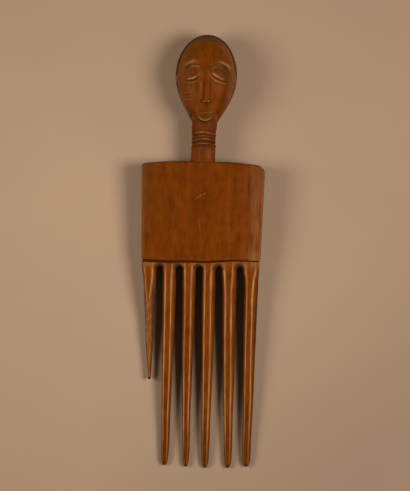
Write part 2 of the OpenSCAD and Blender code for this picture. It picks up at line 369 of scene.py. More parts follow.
@dataclass(frozen=True)
class Rubbing:
    """How far a raised edge stands out before it wears pale, and a hollow before it is dirty."""

    passes: int
    start_mm: float
    full_mm: float

    def share(self, proud: Array) -> Array:
        """Return how much of the mark shows, from 0 to 1."""
        return np.clip((proud - self.start_mm) / (self.full_mm - self.start_mm), 0.0, 1.0)


def read_vectors(items: bpy.types.bpy_prop_collection, name: str) -> Array:
    """Read one vector of each item of a mesh.

    Args:
        items: the mesh's vertices or normals.
        name: the name of the vector.

    Returns:
        One row of three for each item.
    """
    values = np.empty(len(items) * 3)
    items.foreach_get(name, values)
    return values.reshape(-1, 3)


def worn_and_dirty(mesh: bpy.types.Mesh, rubbing: Rubbing) -> tuple[Array, Array]:
    """Find the raised edges, which hands wear pale, and the hollows, which hold dark dirt.

    Args:
        mesh: the finished mesh, in metres.
        rubbing: the sizes of what counts as an edge; more passes find wider ones.

    Returns:
        Wear and dirt for each point, from 0 to 1.
    """
    count = len(mesh.vertices)
    place = read_vectors(mesh.vertices, "co") / MM
    normal = read_vectors(mesh.vertex_normals, "vector")
    ends = np.empty(len(mesh.edges) * 2, dtype=np.int64)
    mesh.edges.foreach_get("vertices", ends)
    first, second = ends.reshape(-1, 2).T
    links = np.maximum(np.bincount(ends, minlength=count), 1)[:, None]

    def eased(values: Array) -> Array:
        """Bring each point half way to the average of its neighbours.

        Args:
            values: one row for each point.

        Returns:
            The eased rows.
        """
        total = np.zeros_like(values)
        for axis in range(values.shape[1]):
            total[:, axis] += np.bincount(first, values[second, axis], count)
            total[:, axis] += np.bincount(second, values[first, axis], count)
        return (values + total / links) / 2

    level = place
    for _ in range(rubbing.passes):
        level = eased(level)
    proud = np.einsum("ij,ij->i", place - level, normal)[:, None]
    for _ in range(3):
        proud = eased(proud)
    return rubbing.share(proud[:, 0]), rubbing.share(-proud[:, 0])


def new_object(name: str, data: bpy.types.ID) -> bpy.types.Object:
    """Add an object to the scene.

    Args:
        name: its name.
        data: its mesh, light or camera.

    Returns:
        The object.
    """
    made = bpy.data.objects.new(name, data)
    bpy.context.scene.collection.objects.link(made)
    return made


# Node trees


def add_node(
    tree: bpy.types.NodeTree, kind: str, inputs: Optional[dict] = None, **settings: object
) -> bpy.types.Node:
    """Add one node with its settings, values and links.

    Args:
        tree: the tree that takes the node.
        kind: Blender's name of the node type.
        inputs: socket names or numbers, each with a value, a socket, or a node whose first
            output is linked.
        **settings: attributes of the node.

    Returns:
        The new node.
    """
    made = tree.nodes.new(kind)
    for name, value in settings.items():
        setattr(made, name, value)
    for key, value in (inputs or {}).items():
        source = value.outputs[0] if isinstance(value, bpy.types.Node) else value
        if isinstance(source, bpy.types.NodeSocket):
            tree.links.new(source, made.inputs[key])
        else:
            made.inputs[key].default_value = source
    return made


def fresh_tree(owner: bpy.types.ID) -> bpy.types.NodeTree:
    """Empty the node tree of a material or a world.

    Args:
        owner: the material or the world.

    Returns:
        Its tree, with no nodes.
    """
    owner.use_nodes = True
    owner.node_tree.nodes.clear()
    return owner.node_tree


def from_hex(code: str) -> tuple[float, float, float, float]:
    """Turn an sRGB hex colour into linear values.

    Args:
        code: the colour, such as "#804020".

    Returns:
        Red, green and blue, with full alpha.
    """
    parts = [int(code[i : i + 2], 16) / 255 for i in (1, 3, 5)]
    linear = [c / 12.92 if c <= 0.04045 else ((c + 0.055) / 1.055) ** 2.4 for c in parts]
    return (*linear, 1.0)


@dataclass(frozen=True)
class WoodFinish:
    """One finish of the same dense, close-grained hardwood, with its grain along the comb."""

    name: str
    dark: str
    middle: str
    light: str
    worn: str
    dirty: str
    deep: str
    bare: str
    # Colour of the shade trait: painted shade, and darker patches of tone.
    shaded: str = "#421902"
    gloss: str = "#FFC08A"
    fibre: float = 0.0
    roughness: float = 0.33
    shine: float = 0.07
    pore_depth: float = 0.3
    streak_mm: float = 0.8
    zone_mm: float = 9.0
    # Real pores are about 0.1 mm wide, too fine to show, so they are drawn coarser.
    pore_mm: float = 0.35
    blotch_mm: float = 4.5
    bump_mm: float = 0.05

    def patterns(self) -> dict[str, tuple[float, float, float, float, float]]:
        """List the noise patterns.

        Returns:
            The cell across and along of each, its detail and the span of noise that it fills.
        """
        return {
            "zone": (self.zone_mm, self.zone_mm * 4, 3.0, 0.38, 0.64),
            "streak": (self.streak_mm, self.streak_mm * 18, 4.0, 0.34, 0.68),
            "pores": (self.pore_mm, self.pore_mm * 6, 1.0, 0.6, 0.74),
            "blotch": (self.blotch_mm, self.blotch_mm * 1.3, 5.0, 0.4, 0.62),
        }

    def masks(self, tree: bpy.types.NodeTree) -> dict[str, bpy.types.Node]:
        """Add the patterns and the painted traits.

        Args:
            tree: the material's tree.

        Returns:
            One node for each kind of mark, whose first output lies between 0 and 1.
        """
        add = functools.partial(add_node, tree)
        place = add("ShaderNodeTexCoord").outputs["Object"]
        masks: dict[str, object] = {}
        for step, (name, (across, along, detail, low, high)) in enumerate(self.patterns().items()):
            lift = 3.7 * (step + 1)
            cells = (1 / (across * MM), 1 / (along * MM), 1 / (across * MM))
            stretched = {"Vector": place, "Location": (lift, lift, lift), "Scale": cells}
            laid = add("ShaderNodeMapping", stretched)
            grain = {"Vector": laid, "Scale": 1.0, "Detail": detail, "Roughness": 0.55}
            speckle = add("ShaderNodeTexNoise", grain).outputs["Fac"]
            span = {"Value": speckle, "From Min": low, "From Max": high}
            masks[name] = add("ShaderNodeMapRange", span, interpolation_type="SMOOTHSTEP")
        for name in TRAITS:
            masks[name] = add("ShaderNodeAttribute", attribute_name=name).outputs["Fac"]
        streaky = {0: masks["streak"], 1: 0.5, 2: 0.65}
        patchy = add("ShaderNodeMath", streaky, operation="MULTIPLY_ADD")
        for name, first, second in (
            ("rubbed", masks["wear"], patchy),
            ("fibre", masks["bare"], masks["streak"]),
        ):
            masks[name] = add("ShaderNodeMath", {0: first, 1: second}, operation="MULTIPLY")
        # Dirt past 0.6 turns near black; under the chin this is painted shadow.
        deepest = {"Value": masks["dirt"], "From Min": 0.6, "From Max": 1.0}
        masks["crevice"] = add("ShaderNodeMapRange", deepest)
        return masks

    def material(self) -> bpy.types.Material:
        """Build the node material.

        Returns:
            The material, which reads Object coordinates and the painted traits.
        """
        made = bpy.data.materials.new(self.name)
        tree = fresh_tree(made)
        add = functools.partial(add_node, tree)
        masks = self.masks(tree)
        colour: object = from_hex(self.dark)
        for name, strength, code in (
            ("zone", 1.0, self.middle),
            ("streak", 0.45, self.light),
            ("blotch", 0.35, self.light),
            ("pores", self.pore_depth, self.deep),
            ("rubbed", 1.0, self.worn),
            ("bare", 1.0, self.bare),
            ("fibre", self.fibre, self.worn),
            ("shade", 1.0, self.shaded),
            ("dirt", 1.0, self.dirty),
            ("crevice", 1.0, self.deep),
        ):
            strong = {0: masks[name], 1: strength}
            share = add("ShaderNodeMath", strong, operation="MULTIPLY", use_clamp=True)
            layer = {0: share, 6: colour, 7: from_hex(code)}
            colour = add("ShaderNodeMix", layer, data_type="RGBA").outputs[2]
        sums: dict[str, object] = {"rough": self.roughness, "height": 0.0}
        for total, name, amount in (
            ("rough", "blotch", 0.12),
            ("rough", "bare", 0.25),
            ("height", "streak", 0.4),
            ("height", "pores", -0.6),
        ):
            parts = {0: masks[name], 1: amount, 2: sums[total]}
            sums[total] = add("ShaderNodeMath", parts, operation="MULTIPLY_ADD")
        relief = {"Height": sums["height"], "Strength": 0.5, "Distance": self.bump_mm * MM}
        surface = {
            "Base Color": colour,
            "Roughness": sums["rough"],
            "Normal": add("ShaderNodeBump", relief),
            "Specular IOR Level": self.shine,
            "Specular Tint": from_hex(self.gloss),
        }
        add("ShaderNodeOutputMaterial", {"Surface": add("ShaderNodeBsdfPrincipled", surface)})
        return made


class Finish(Enum):
    """The finishes of the comb, by the record's slot names."""

    PATINATED = "patinated_wood"
    DARK_STAINED = "dark_stained_wood"
    WORN = "worn_wood"
    SPLIT = "split_wood"


# Red-brown like the plate, with pale warm lines along every whittled edge.
WHITTLED = WoodFinish(
    "worn hardwood, whittled",
    dark="#5C2702", middle="#713304", light="#82420E", worn="#CC8C54",
    dirty="#3A200A", deep="#160C04", bare="#8A5220", fibre=0.4,
)
FINISHES = {
    # Deep red-brown with a satin gleam, darker along the grain and pale where fingers rub it.
    Finish.PATINATED: WoodFinish(
        "patinated hardwood, oiled and handled",
        dark="#602802", middle="#6E2F02", light="#7E3F07", worn="#C08A58",
        dirty="#4A3514", deep="#2A1504", bare="#722A08",
    ),
    # A dull dark brown like hair, a little lighter on its edges.
    Finish.DARK_STAINED: WoodFinish(
        "stained hardwood, rubbed",
        dark="#4E3118", middle="#5C3B1E", light="#6A4828", worn="#745030",
        dirty="#2A1A0C", deep="#1A1008", bare="#6E3406",
    ),
    Finish.WORN: WHITTLED,
    # The same with a dry, paler, streaky break.
    Finish.SPLIT: replace(
        WHITTLED, name="worn hardwood, split along the grain",
        bare="#70401A", streak_mm=0.5, fibre=0.5,
    ),
}


@dataclass
class Workshop:
    """Makes finished objects from shapes, and keeps the materials that they share."""

    pose: LyingPose
    made: dict[Finish, bpy.types.Material] = field(default_factory=dict)

    def material(self, finish: Finish) -> bpy.types.Material:
        """Give the material of a finish, made once.

        Args:
            finish: the finish.

        Returns:
            Its material.
        """
        if finish not in self.made:
            self.made[finish] = FINISHES[finish].material()
        return self.made[finish]

    def piece(self, name: str, node: str, shape: Shape, finish: Finish, rubbing: Rubbing) -> None:
        """Make the finished object that stands for one node and rides on the comb's body.

        Args:
            name: name of the object.
            node: the node that it stands for.
            shape: its points and faces, in the comb's own millimetres.
            finish: its finish.
            rubbing: how its edges wear and its hollows darken.
        """
        mesh = bpy.data.meshes.new(name)
        mesh.from_pydata(self.pose.lay(shape.points).tolist(), [], shape.faces)
        mesh.polygons.foreach_set("use_smooth", [True] * len(mesh.polygons))
        mesh.set_sharp_from_angle(angle=math.radians(SHARP_EDGE_DEG))
        mesh.update()
        wear, dirt = worn_and_dirty(mesh, rubbing)
        handled = 1.0 if shape.handled is None else shape.handled
        painted = dict.fromkeys(TRAITS, np.zeros(len(wear)))
        painted |= {"wear": wear * handled, "dirt": dirt * handled}
        for trait, values in shape.traits.items():
            painted[trait] = np.clip(painted[trait] + values, 0.0, 1.0)
        for trait, values in painted.items():
            layer = mesh.attributes.new(trait, "FLOAT", "POINT")
            layer.data.foreach_set("value", values.astype(np.float32))
        mesh.materials.append(self.material(finish))
        made = new_object(name, mesh)
        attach(made, BODY)
        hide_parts(node)
        log.info("%s stands for %s: %d faces", made.name, node, len(mesh.polygons))


# Lines and eyes of the face


@dataclass(frozen=True)
class Stroke:
    """One carved line of the face, placed from the middle of the chin's edge."""

    places: tuple[tuple[float, float], ...]
    half_w: float
    relief: float
    wear: float = 0.0
    dirt: float = 0.0
    fade: float = 2.0

    def course(self) -> Array:
        """Draw the smooth curve through the places.

        Returns:
            Closely spaced points on it, one row each.
        """
        held = np.array([self.places[0], *self.places, self.places[-1]], dtype=float)
        t = np.linspace(0.0, 1.0, 9)[:, None]
        runs = [
            0.5
            * (
                2 * b
                + (c - a) * t
                + (2 * a - 5 * b + 4 * c - d) * t**2
                + (3 * b - a - 3 * c + d) * t**3
            )
            for a, b, c, d in zip(held, held[1:], held[2:], held[3:])
        ]
        return np.vstack(runs)

    def strength(self, x: Array, h: Array) -> Array:
        """Find how near each place is to the line.

        Args:
            x: places across the face.
            h: heights above the chin.

        Returns:
            1 on the line, easing to 0 at its sides and towards its two ends.
        """
        line = self.course()
        lengths = np.hypot(*np.diff(line, axis=0).T)
        reached = np.concatenate([[0.0], np.cumsum(lengths)])
        nearest = np.full(x.shape, np.inf)
        place = np.zeros(x.shape)
        for start, end, before, long in zip(line, line[1:], reached, lengths):
            if long < 1e-9:
                continue
            way = (end - start) / long
            run = np.clip((x - start[0]) * way[0] + (h - start[1]) * way[1], 0.0, long)
            away = np.hypot(x - start[0] - run * way[0], h - start[1] - run * way[1])
            place = np.where(away < nearest, before + run, place)
            nearest = np.minimum(away, nearest)
        ends = ramp(place, -0.3, self.fade) * ramp(place, reached[-1] + 0.3, -self.fade)
        return bump(nearest, self.half_w) * ends


def drawn(strokes: Sequence[Stroke], quality: str, x: Array, h: Array) -> Array:
    """Add up one quality of some strokes, such as their relief, at each place of the face."""
    return sum(getattr(stroke, quality) * stroke.strength(x, h) for stroke in strokes)


@dataclass(frozen=True)
class Eye:
    """One heavy-lidded eye: a sunk socket, a long brow, lids and an eyeball."""

    socket: tuple[float, float, float, float, float]
    ball: tuple[float, float, float, float, float]
    redness: float
    strokes: tuple[Stroke, ...]
    socket_depth: float = 0.55
    ball_relief: float = 0.5
    socket_dirt: float = 0.5

    def inside(self, x: Array, h: Array, oval: tuple[float, ...]) -> Array:
        """Find how deep each place lies inside a tilted oval.

        Args:
            x: places across the face.
            h: heights above the chin.
            oval: the place across and the height of its middle, its half width and half height,
                and its tilt in degrees.

        Returns:
            1 in the middle of the oval, falling to 0 at its edge.
        """
        turn = math.radians(oval[4])
        across = (x - oval[0]) * math.cos(turn) + (h - oval[1]) * math.sin(turn)
        up = (h - oval[1]) * math.cos(turn) - (x - oval[0]) * math.sin(turn)
        return np.clip(1.0 - np.hypot(across / oval[2], up / oval[3]), 0.0, 1.0)

    def relief(self, x: Array, h: Array) -> Array:
        """Find the height of the carving over the face.

        Args:
            x: places across the face.
            h: heights above the chin.

        Returns:
            The height at each place.
        """
        sunk = -self.socket_depth * smooth(self.inside(x, h, self.socket) * 3.0)
        swell = self.ball_relief * np.sqrt(self.inside(x, h, self.ball))
        return sunk + swell + drawn(self.strokes, "relief", x, h)

    def wear(self, x: Array, h: Array) -> Array:
        """Return how pale the lines are rubbed."""
        return drawn(self.strokes, "wear", x, h)

    def dirt(self, x: Array, h: Array) -> Array:
        """Find how dark the socket is round the eyeball, and the grooves between the lids.

        Args:
            x: places across the face.
            h: heights above the chin.

        Returns:
            The dirt at each place.
        """
        around = smooth(self.inside(x, h, self.socket) * 2.5)
        ball = smooth(self.inside(x, h, self.ball) * 3.0)
        hollow = self.socket_dirt * around * (1.0 - 0.9 * ball)
        hollow = hollow * (1.0 - np.clip(self.wear(x, h), 0.0, 1.0))
        return hollow + drawn(self.strokes, "dirt", x, h)

    def red(self, x: Array, h: Array) -> Array:
        """Return how red the eyeball is."""
        return self.redness * smooth(self.inside(x, h, self.ball) * 2.5)


# The strokes of each eye run from the brow down to the bag under it. After its places, each gives
# its half width, relief, wear, dirt and fade.
LEFT_EYE = Eye(
    socket=(-9.2, 30.0, 6.2, 4.9, 14.0),
    ball=(-7.3, 30.4, 3.2, 2.6, 20.0),
    redness=0.2,
    strokes=(
        Stroke(((-14.0, 32.4), (-12.6, 34.2), (-10.7, 35.5), (-8.8, 36.4), (-6.8, 36.7),
                (-4.6, 36.5)),
               1.6, 0.45, 0.38, 0.0, 4.5),
        Stroke(((-13.2, 31.2), (-11.1, 33.4), (-9.2, 34.4), (-6.5, 34.8), (-3.4, 34.2)),
               0.9, -0.25, 0.0, 0.5, 2.5),
        Stroke(((-9.9, 32.8), (-8.0, 33.4), (-5.3, 33.4), (-4.0, 33.0)), 0.7, 0.35, 0.4, 0.0, 1.2),
        Stroke(((-9.3, 31.4), (-9.1, 29.6), (-9.2, 28.2)), 0.6, -0.2, 0.0, 0.5, 1.0),
        Stroke(((-11.4, 25.8), (-9.2, 26.1), (-7.2, 26.9), (-5.3, 28.0), (-3.8, 29.6),
                (-2.4, 30.5)),
               0.85, 0.6, 0.3, 0.0, 3.0),
        Stroke(((-11.6, 25.8), (-9.2, 26.1), (-7.2, 26.9), (-5.6, 27.8)), 0.8, 0.0, 0.7, 0.0, 1.5),
        Stroke(((-13.6, 24.9), (-11.0, 24.7), (-8.8, 24.8), (-6.5, 25.5), (-4.0, 27.8)),
               0.75, -0.3, 0.0, 0.85, 2.0),
        Stroke(((-14.0, 23.8), (-11.0, 23.6), (-8.0, 23.8), (-6.0, 24.6), (-4.5, 25.9),
                (-3.0, 28.0), (-1.6, 29.8)),
               0.95, 0.45, 0.12, 0.0, 4.0),
        Stroke(((-13.6, 23.7), (-11.0, 23.6), (-8.0, 23.8), (-5.4, 25.0)),
               0.8, 0.0, 0.24, 0.2, 2.5),
        Stroke(((-13.8, 22.2), (-10.0, 22.2), (-6.4, 22.7), (-4.0, 24.6)),
               0.9, -0.15, 0.0, 0.5, 2.0),
    ),
)
RIGHT_EYE = Eye(
    socket=(9.2, 30.1, 6.6, 4.9, -20.0),
    ball=(7.9, 29.8, 3.6, 2.3, -26.0),
    redness=0.45,
    strokes=(
        Stroke(((6.0, 36.3), (8.5, 36.1), (10.5, 35.5), (12.4, 34.4), (13.9, 32.9), (15.1, 31.0)),
               1.4, 0.45, 0.5, 0.0, 4.0),
        Stroke(((1.2, 32.4), (3.5, 34.2), (5.8, 35.0), (8.9, 34.8), (11.2, 33.6), (13.4, 31.6)),
               1.1, -0.25, 0.0, 0.5, 3.0),
        Stroke(((4.0, 32.2), (5.6, 32.9), (7.6, 32.9), (10.0, 31.9)), 0.7, 0.3, 0.22, 0.0, 1.5),
        Stroke(((4.4, 31.4), (7.4, 31.9), (10.5, 30.4), (12.0, 28.6)), 0.6, -0.2, 0.0, 0.45, 1.5),
        Stroke(((3.5, 30.0), (5.1, 28.6), (7.0, 27.5), (8.9, 26.5), (10.7, 25.9)),
               0.95, 0.65, 0.6, 0.0, 1.0),
        Stroke(((3.6, 29.9), (5.1, 28.6), (7.4, 27.3)), 0.8, 0.0, 0.5, 0.0, 1.0),
        Stroke(((3.1, 28.2), (5.8, 26.5), (8.2, 25.5), (10.5, 25.0), (13.6, 24.8)),
               0.75, -0.3, 0.0, 0.8, 2.0),
        Stroke(((1.0, 30.6), (2.4, 28.4), (3.9, 26.7), (5.8, 25.2), (8.2, 24.2), (10.5, 23.6),
                (12.6, 23.3)),
               0.9, 0.45, 0.26, 0.0, 3.0),
        Stroke(((2.4, 28.4), (3.9, 26.7), (5.8, 25.2), (8.2, 24.2)), 0.7, 0.0, 0.3, 0.0, 2.0),
        Stroke(((4.6, 24.6), (6.6, 23.4), (9.7, 22.7), (13.8, 23.0)), 0.9, -0.15, 0.0, 0.4, 2.0),
    ),
)
# The upper edge of the mouth, the hollow over it and the slit under it.
LIPS = (
    Stroke(((-4.2, 5.5), (-1.8, 5.8), (1.4, 6.1), (4.6, 6.5)), 0.75, 0.45, 0.32, 0.34, 1.2),
    Stroke(((-3.6, 6.9), (0.4, 7.3), (4.2, 7.6)), 0.7, -0.15, 0.0, 0.25, 1.5),
    Stroke(((-4.0, 4.7), (0.0, 5.0), (4.2, 5.5)), 0.55, -0.35, 0.0, 0.45, 1.5),
)


# Carved sections


@dataclass(frozen=True)
class Ear:
    """One ear: a low rim in a flat C that stands on the edge of the head."""

    side: int
    low_h: float
    high_h: float
    middle_x: float
    half_w: float
    tall: float
    bulge: float
    rows: int = 60
    around: int = 40

    def shape(self, chin_y: float) -> Shape:
        """Build the closed ear.

        Args:
            chin_y: place of the chin along the comb.

        Returns:
            The ear, on the head's own middle line.
        """
        turn = np.linspace(0, 2 * np.pi, self.around, endpoint=False)
        loops = []
        for step in np.linspace(0.0, 1.0, self.rows):
            swell = max(math.sin(math.pi * step), 0.02) ** 0.5
            lobe = float(bump(np.array(step - 0.36), 0.3)) * self.bulge
            half = self.half_w * swell * (1.0 + 0.25 * math.sin(2 * math.pi * step)) + lobe / 2
            middle = self.middle_x + 0.5 * math.sin(math.pi * step) + lobe / 2
            x = self.side * (middle + half * np.cos(turn))
            y = np.full(len(turn), chin_y + float(mix(self.low_h, self.high_h, step)))
            z = self.tall * swell * float(mix(0.86, 1.0, step)) / 2 * (1.0 + np.sin(turn))
            loops.append(np.stack([x, y, z], axis=-1))
        points = np.array(loops)
        even = np.ones(points.shape[:2])
        return loft(points, {"wear": 0.2 * even, "dirt": 0.15 * even})


@dataclass
class Head:
    """The oval head: the face in front, the hair cap behind and an ear on each side."""

    sizes: CombSizes
    length: float = 52.5
    cap_w: float = 36.8
    face_w: float = 34.6
    face_depth: float = 13.0
    cap_depth: float = 15.5
    cap_edge: float = 0.9
    cap_edge_slope: float = 0.4
    edge_relief: float = 1.0
    widest_share: float = 0.53
    chin_depth_share: float = 0.8
    nape_depth_share: float = 0.43
    jaw_rows_share: float = 0.48
    face_power: float = 2.4
    cap_power: float = 2.2
    nose_x: float = 0.4
    nose_tip_h: float = 11.6
    nose_top_h: float = 36.0
    nose_relief: float = 2.9
    mouth_h: float = 3.6
    chin_half_w: float = 4.6
    cheek_cut_heights: tuple[float, ...] = (14.6, 16.2, 18.6)
    cheek_cut_depths: tuple[float, ...] = (0.5, 0.55, 0.3)
    face_marks: tuple[Marks, ...] = (
        Marks(0.06, (3.2, 9.0, 3.2), 3),
        Marks(0.03, (1.5, 4.0, 1.5), 4),
    )
    cap_marks: Marks = Marks(0.12, (3.0, 10.0, 3.0), 8)
    sunk_temple: Spot = Spot((13.2, 37.0), (5.0, 7.0), -0.4, both_sides=True)
    full_cheek: Spot = Spot((8.0, 17.0), (6.0, 7.0), 0.3, both_sides=True)
    lip_hollow: Spot = Spot((0.4, 9.4), (2.6, 2.2), -0.4)
    jaw_corner: Spot = Spot((6.2, 3.0), (2.6, 3.0), both_sides=True)
    # Painted sheen on the left cheek, and painted light on the jaw's corners.
    painted_cheek_sheen: Spot = Spot((-8.0, 17.5), (5.0, 6.0), 0.06)
    painted_jaw_light: Spot = Spot((6.3, 3.0), (2.4, 2.6), 0.36, both_sides=True)
    dark_brow: Spot = Spot((-4.1, 37.1), (0.8, 0.8), 0.6)
    dark_cheek: Spot = Spot((12.0, 15.4), (1.2, 2.0), 0.42)
    shaded_lip: Spot = Spot((0.4, 9.2), (2.8, 2.4), 0.45)
    shaded_mouth: Spot = Spot((0.3, 3.6), (4.4, 1.6), 0.3)
    red_mouth: Spot = Spot((0.3, 3.2), (4.6, 2.0), 0.95)
    face_rows: int = 300
    face_columns: int = 220
    cap_rows: int = 150
    cap_columns: int = 110
    lip_steps: int = 14
    rubbing: Rubbing = Rubbing(12, 0.1, 0.8)
    ears: tuple[Ear, ...] = (
        Ear(side=-1, low_h=21.8, high_h=32.4, middle_x=16.2, half_w=0.75, tall=4.9, bulge=0.9),
        Ear(side=1, low_h=19.4, high_h=35.4, middle_x=16.1, half_w=1.0, tall=5.1, bulge=0.7),
    )

    def jaw_round(self, share: Array) -> Array:
        """Widening of the head from the jaw up to its widest place."""
        return np.sin(np.pi / 2 * np.clip(share / self.widest_share, 0, 1))

    def crown_round(self, share: Array) -> Array:
        """Narrowing of the head above its widest place."""
        rise = (share - self.widest_share) / (1.0 - self.widest_share)
        return np.sqrt(np.clip(1.0 - rise * rise, 0.0, 1.0))

    def half_width(self, share: Array, full_w: float) -> Array:
        """Half the width of the head at a share of its length."""
        low = mix(self.sizes.jaw_w / 2, full_w / 2, self.jaw_round(share))
        return np.where(share < self.widest_share, low, full_w / 2 * self.crown_round(share))

    def middle_depth(self, share: Array, full: float, low_share: float) -> Array:
        """Depth of the head on its middle line."""
        low = mix(low_share, 1.0, self.jaw_round(share))
        return full * np.where(share < self.widest_share, low, self.crown_round(share) ** 0.9)

    def rows(self, count: int) -> Array:
        """Space the rows of points, closer together at the crown.

        Args:
            count: how many rows.

        Returns:
            Their shares of the length.
        """
        low = int(count * self.jaw_rows_share)
        jaw = self.widest_share * np.arange(low) / low
        crown = np.sin(np.pi / 2 * np.arange(count - low) / (count - low))
        return np.concatenate([jaw, mix(self.widest_share, 1.0, crown)])

    def columns(self, count: int) -> Array:
        """Shares of the half width for the columns of points, closer together at the sides."""
        even = 2.0 * np.arange(count + 1) / count - 1.0
        return (even + np.sin(np.pi / 2 * even)) / 2

    def section(self, across: Array, power: float) -> Array:
        """Height of a rounded cross-section, 1 in its middle."""
        return np.clip(1.0 - np.abs(across) ** power, 0.0, 1.0) ** (1.0 / power)

    def nose(self, x: Array, h: Array) -> Array:
        """Shape the long straight nose, steep on its left, soft on its right, with small wings.

        Args:
            x: places across the face.
            h: heights above the chin.

        Returns:
            Its height over the face.
        """
        along = np.clip((h - self.nose_tip_h) / (self.nose_top_h - self.nose_tip_h), 0.0, 1.0)
        x = x - self.nose_x
        flat = mix(0.85, 0.5, along)
        foot = np.where(x < 0, mix(2.8, 1.6, along), mix(4.0, 3.2, along))
        ridge = 1.0 - ramp(np.abs(x), flat, foot - flat)
        high = self.nose_relief * mix(1.0, 0.2, along**0.8)
        ends = ramp(h, self.nose_tip_h, 0.8) * ramp(h, self.nose_top_h, -4.0)
        wings = 0.7 * bump(np.hypot(np.abs(x) - 1.6, (h - self.nose_tip_h - 1.3) * 0.9), 1.4)
        return (high * ridge + wings * ramp(h, self.nose_tip_h, 0.7)) * ends

    def mouth(self, x: Array, h: Array) -> Array:
        """Shape the small full mouth that stands out over the chin.

        Args:
            x: places across the face.
            h: heights above the chin.

        Returns:
            Its height over the face.
        """
        boss = np.hypot((x - 0.2) / 6.0, (h - self.mouth_h) / 4.4)
        rise = 0.9 * (1.0 - ramp(boss, 0.45, 0.6))
        return rise + self.lip_hollow.at(x, h)

    def over_neck(self, x: Array, h: Array) -> Array:
        """Tell the face from the part of the jaw that has run down to the neck.

        Args:
            x: places across the face.
            h: heights above the chin.

        Returns:
            0 under and 1 over a sharp step along the chin, and a long soft slope beside it.
        """
        beside = ramp(np.abs(x), self.chin_half_w, 2.2)
        low = mix(self.sizes.chin_line(x) - 0.5, -0.4, beside)
        high = mix(self.sizes.chin_line(x), 8.0, beside)
        return ramp(h, low, high - low)

    def lines(self) -> tuple[Stroke, ...]:
        """Gather the lips and three short level cuts on the left cheek.

        Returns:
            The strokes, with a groove and a raised lower edge for each cut.
        """
        cuts = []
        for height, depth in zip(self.cheek_cut_heights, self.cheek_cut_depths):
            ends = ((-13.8, height), (-11.2, height - 0.1), (-8.2, height + 0.5))
            edge = tuple((x, h - 0.75) for x, h in ends)
            cuts.append(Stroke(ends, 0.6, -depth, 0.0, depth * 0.7, 1.8))
            cuts.append(Stroke(edge, 0.5, depth * 0.4, depth * 0.55, 0.0, 1.8))
        return (*LIPS, *cuts)

    def relief(self, x: Array, h: Array) -> Array:
        """Add up everything that is carved on the face, over its plain dome.

        Args:
            x: places across the face.
            h: heights above the chin.

        Returns:
            The height of the carving.
        """
        carving = LEFT_EYE.relief(x, h) + RIGHT_EYE.relief(x, h) + self.mouth(x, h)
        carving = carving + drawn(self.lines(), "relief", x, h) + self.nose(x, h)
        return carving + self.sunk_temple.at(x, h) + self.full_cheek.at(x, h)

    def near_rim(self, x: Array, h: Array) -> Array:
        """Find the band of the face beside the rim of the hair cap.

        Args:
            x: places across the face.
            h: heights above the chin.

        Returns:
            1 beside the rim, easing to 0 towards the middle of the face and down the jaw.
        """
        middle_h = self.widest_share * self.length
        reach = np.where(h < middle_h, 0.0, (h - middle_h) / (self.length - middle_h))
        half = self.half_width(np.minimum(h, middle_h) / self.length, self.face_w)
        return ramp(np.hypot(x / half, reach), 0.72, 0.18) * ramp(h, 8.0, 10.0)

    def face_wear(self, x: Array, h: Array) -> Array:
        """Find the wear on the raised lines, and the sheen, highlights and light painted on the
        face.

        Args:
            x: places across the face.
            h: heights above the chin.

        Returns:
            The wear at each place.
        """
        from_nose = x - self.nose_x
        wear = LEFT_EYE.wear(x, h) + RIGHT_EYE.wear(x, h) + drawn(self.lines(), "wear", x, h)
        # Painted highlights on the nose wings, which also stand for wear.
        wear += 0.65 * bump(np.hypot(np.abs(from_nose) - 1.35, h - self.nose_tip_h - 1.1), 0.8)
        # Painted sheen on the flanks of the nose.
        beside = 0.14 * bump(from_nose + 3.4, 1.4) + 0.05 * bump(from_nose - 3.2, 1.6)
        wear += beside * ramp(h, 12.0, 3.0) * ramp(h, 27.0, -5.0)
        # The pale arc on the chin's edge: partly wear, partly a painted highlight.
        chin = bump(h - self.sizes.chin_line(x) - 0.35, 0.5)
        wear += 0.75 * chin * (1.0 - ramp(np.abs(x), 2.6, 2.8))
        # Painted sheen on the left cheek, and painted light that lifts the shade at the jaw's
        # corners.
        wear += self.painted_cheek_sheen.at(x, h) + self.painted_jaw_light.at(x, h)
        # Painted sheen in a band inside the rim, stronger on the right.
        return wear + (0.08 + 0.05 * smooth(x / 10.0)) * self.near_rim(x, h)

    def face_dirt(self, x: Array, h: Array) -> Array:
        """Find how dirty the hollows, the grooves and the sides are, with a grey sheen painted on
        the crown.

        Args:
            x: places across the face.
            h: heights above the chin.

        Returns:
            The dirt at each place.
        """
        eyes = np.minimum(LEFT_EYE.dirt(x, h) + RIGHT_EYE.dirt(x, h), 0.7)
        # A grey sheen painted on the crown, where the head curves away.
        crown = ramp(h - 0.01 * x * x, 43.5, 6.5)
        spots = self.dark_brow.at(x, h) + self.dark_cheek.at(x, h)
        film = 0.1 + 0.05 * ramp(np.hypot(x / 17.0, (h - 24.0) / 27.0), 0.55, 0.4)
        return eyes + drawn(self.lines(), "dirt", x, h) + 0.4 * crown + spots + film

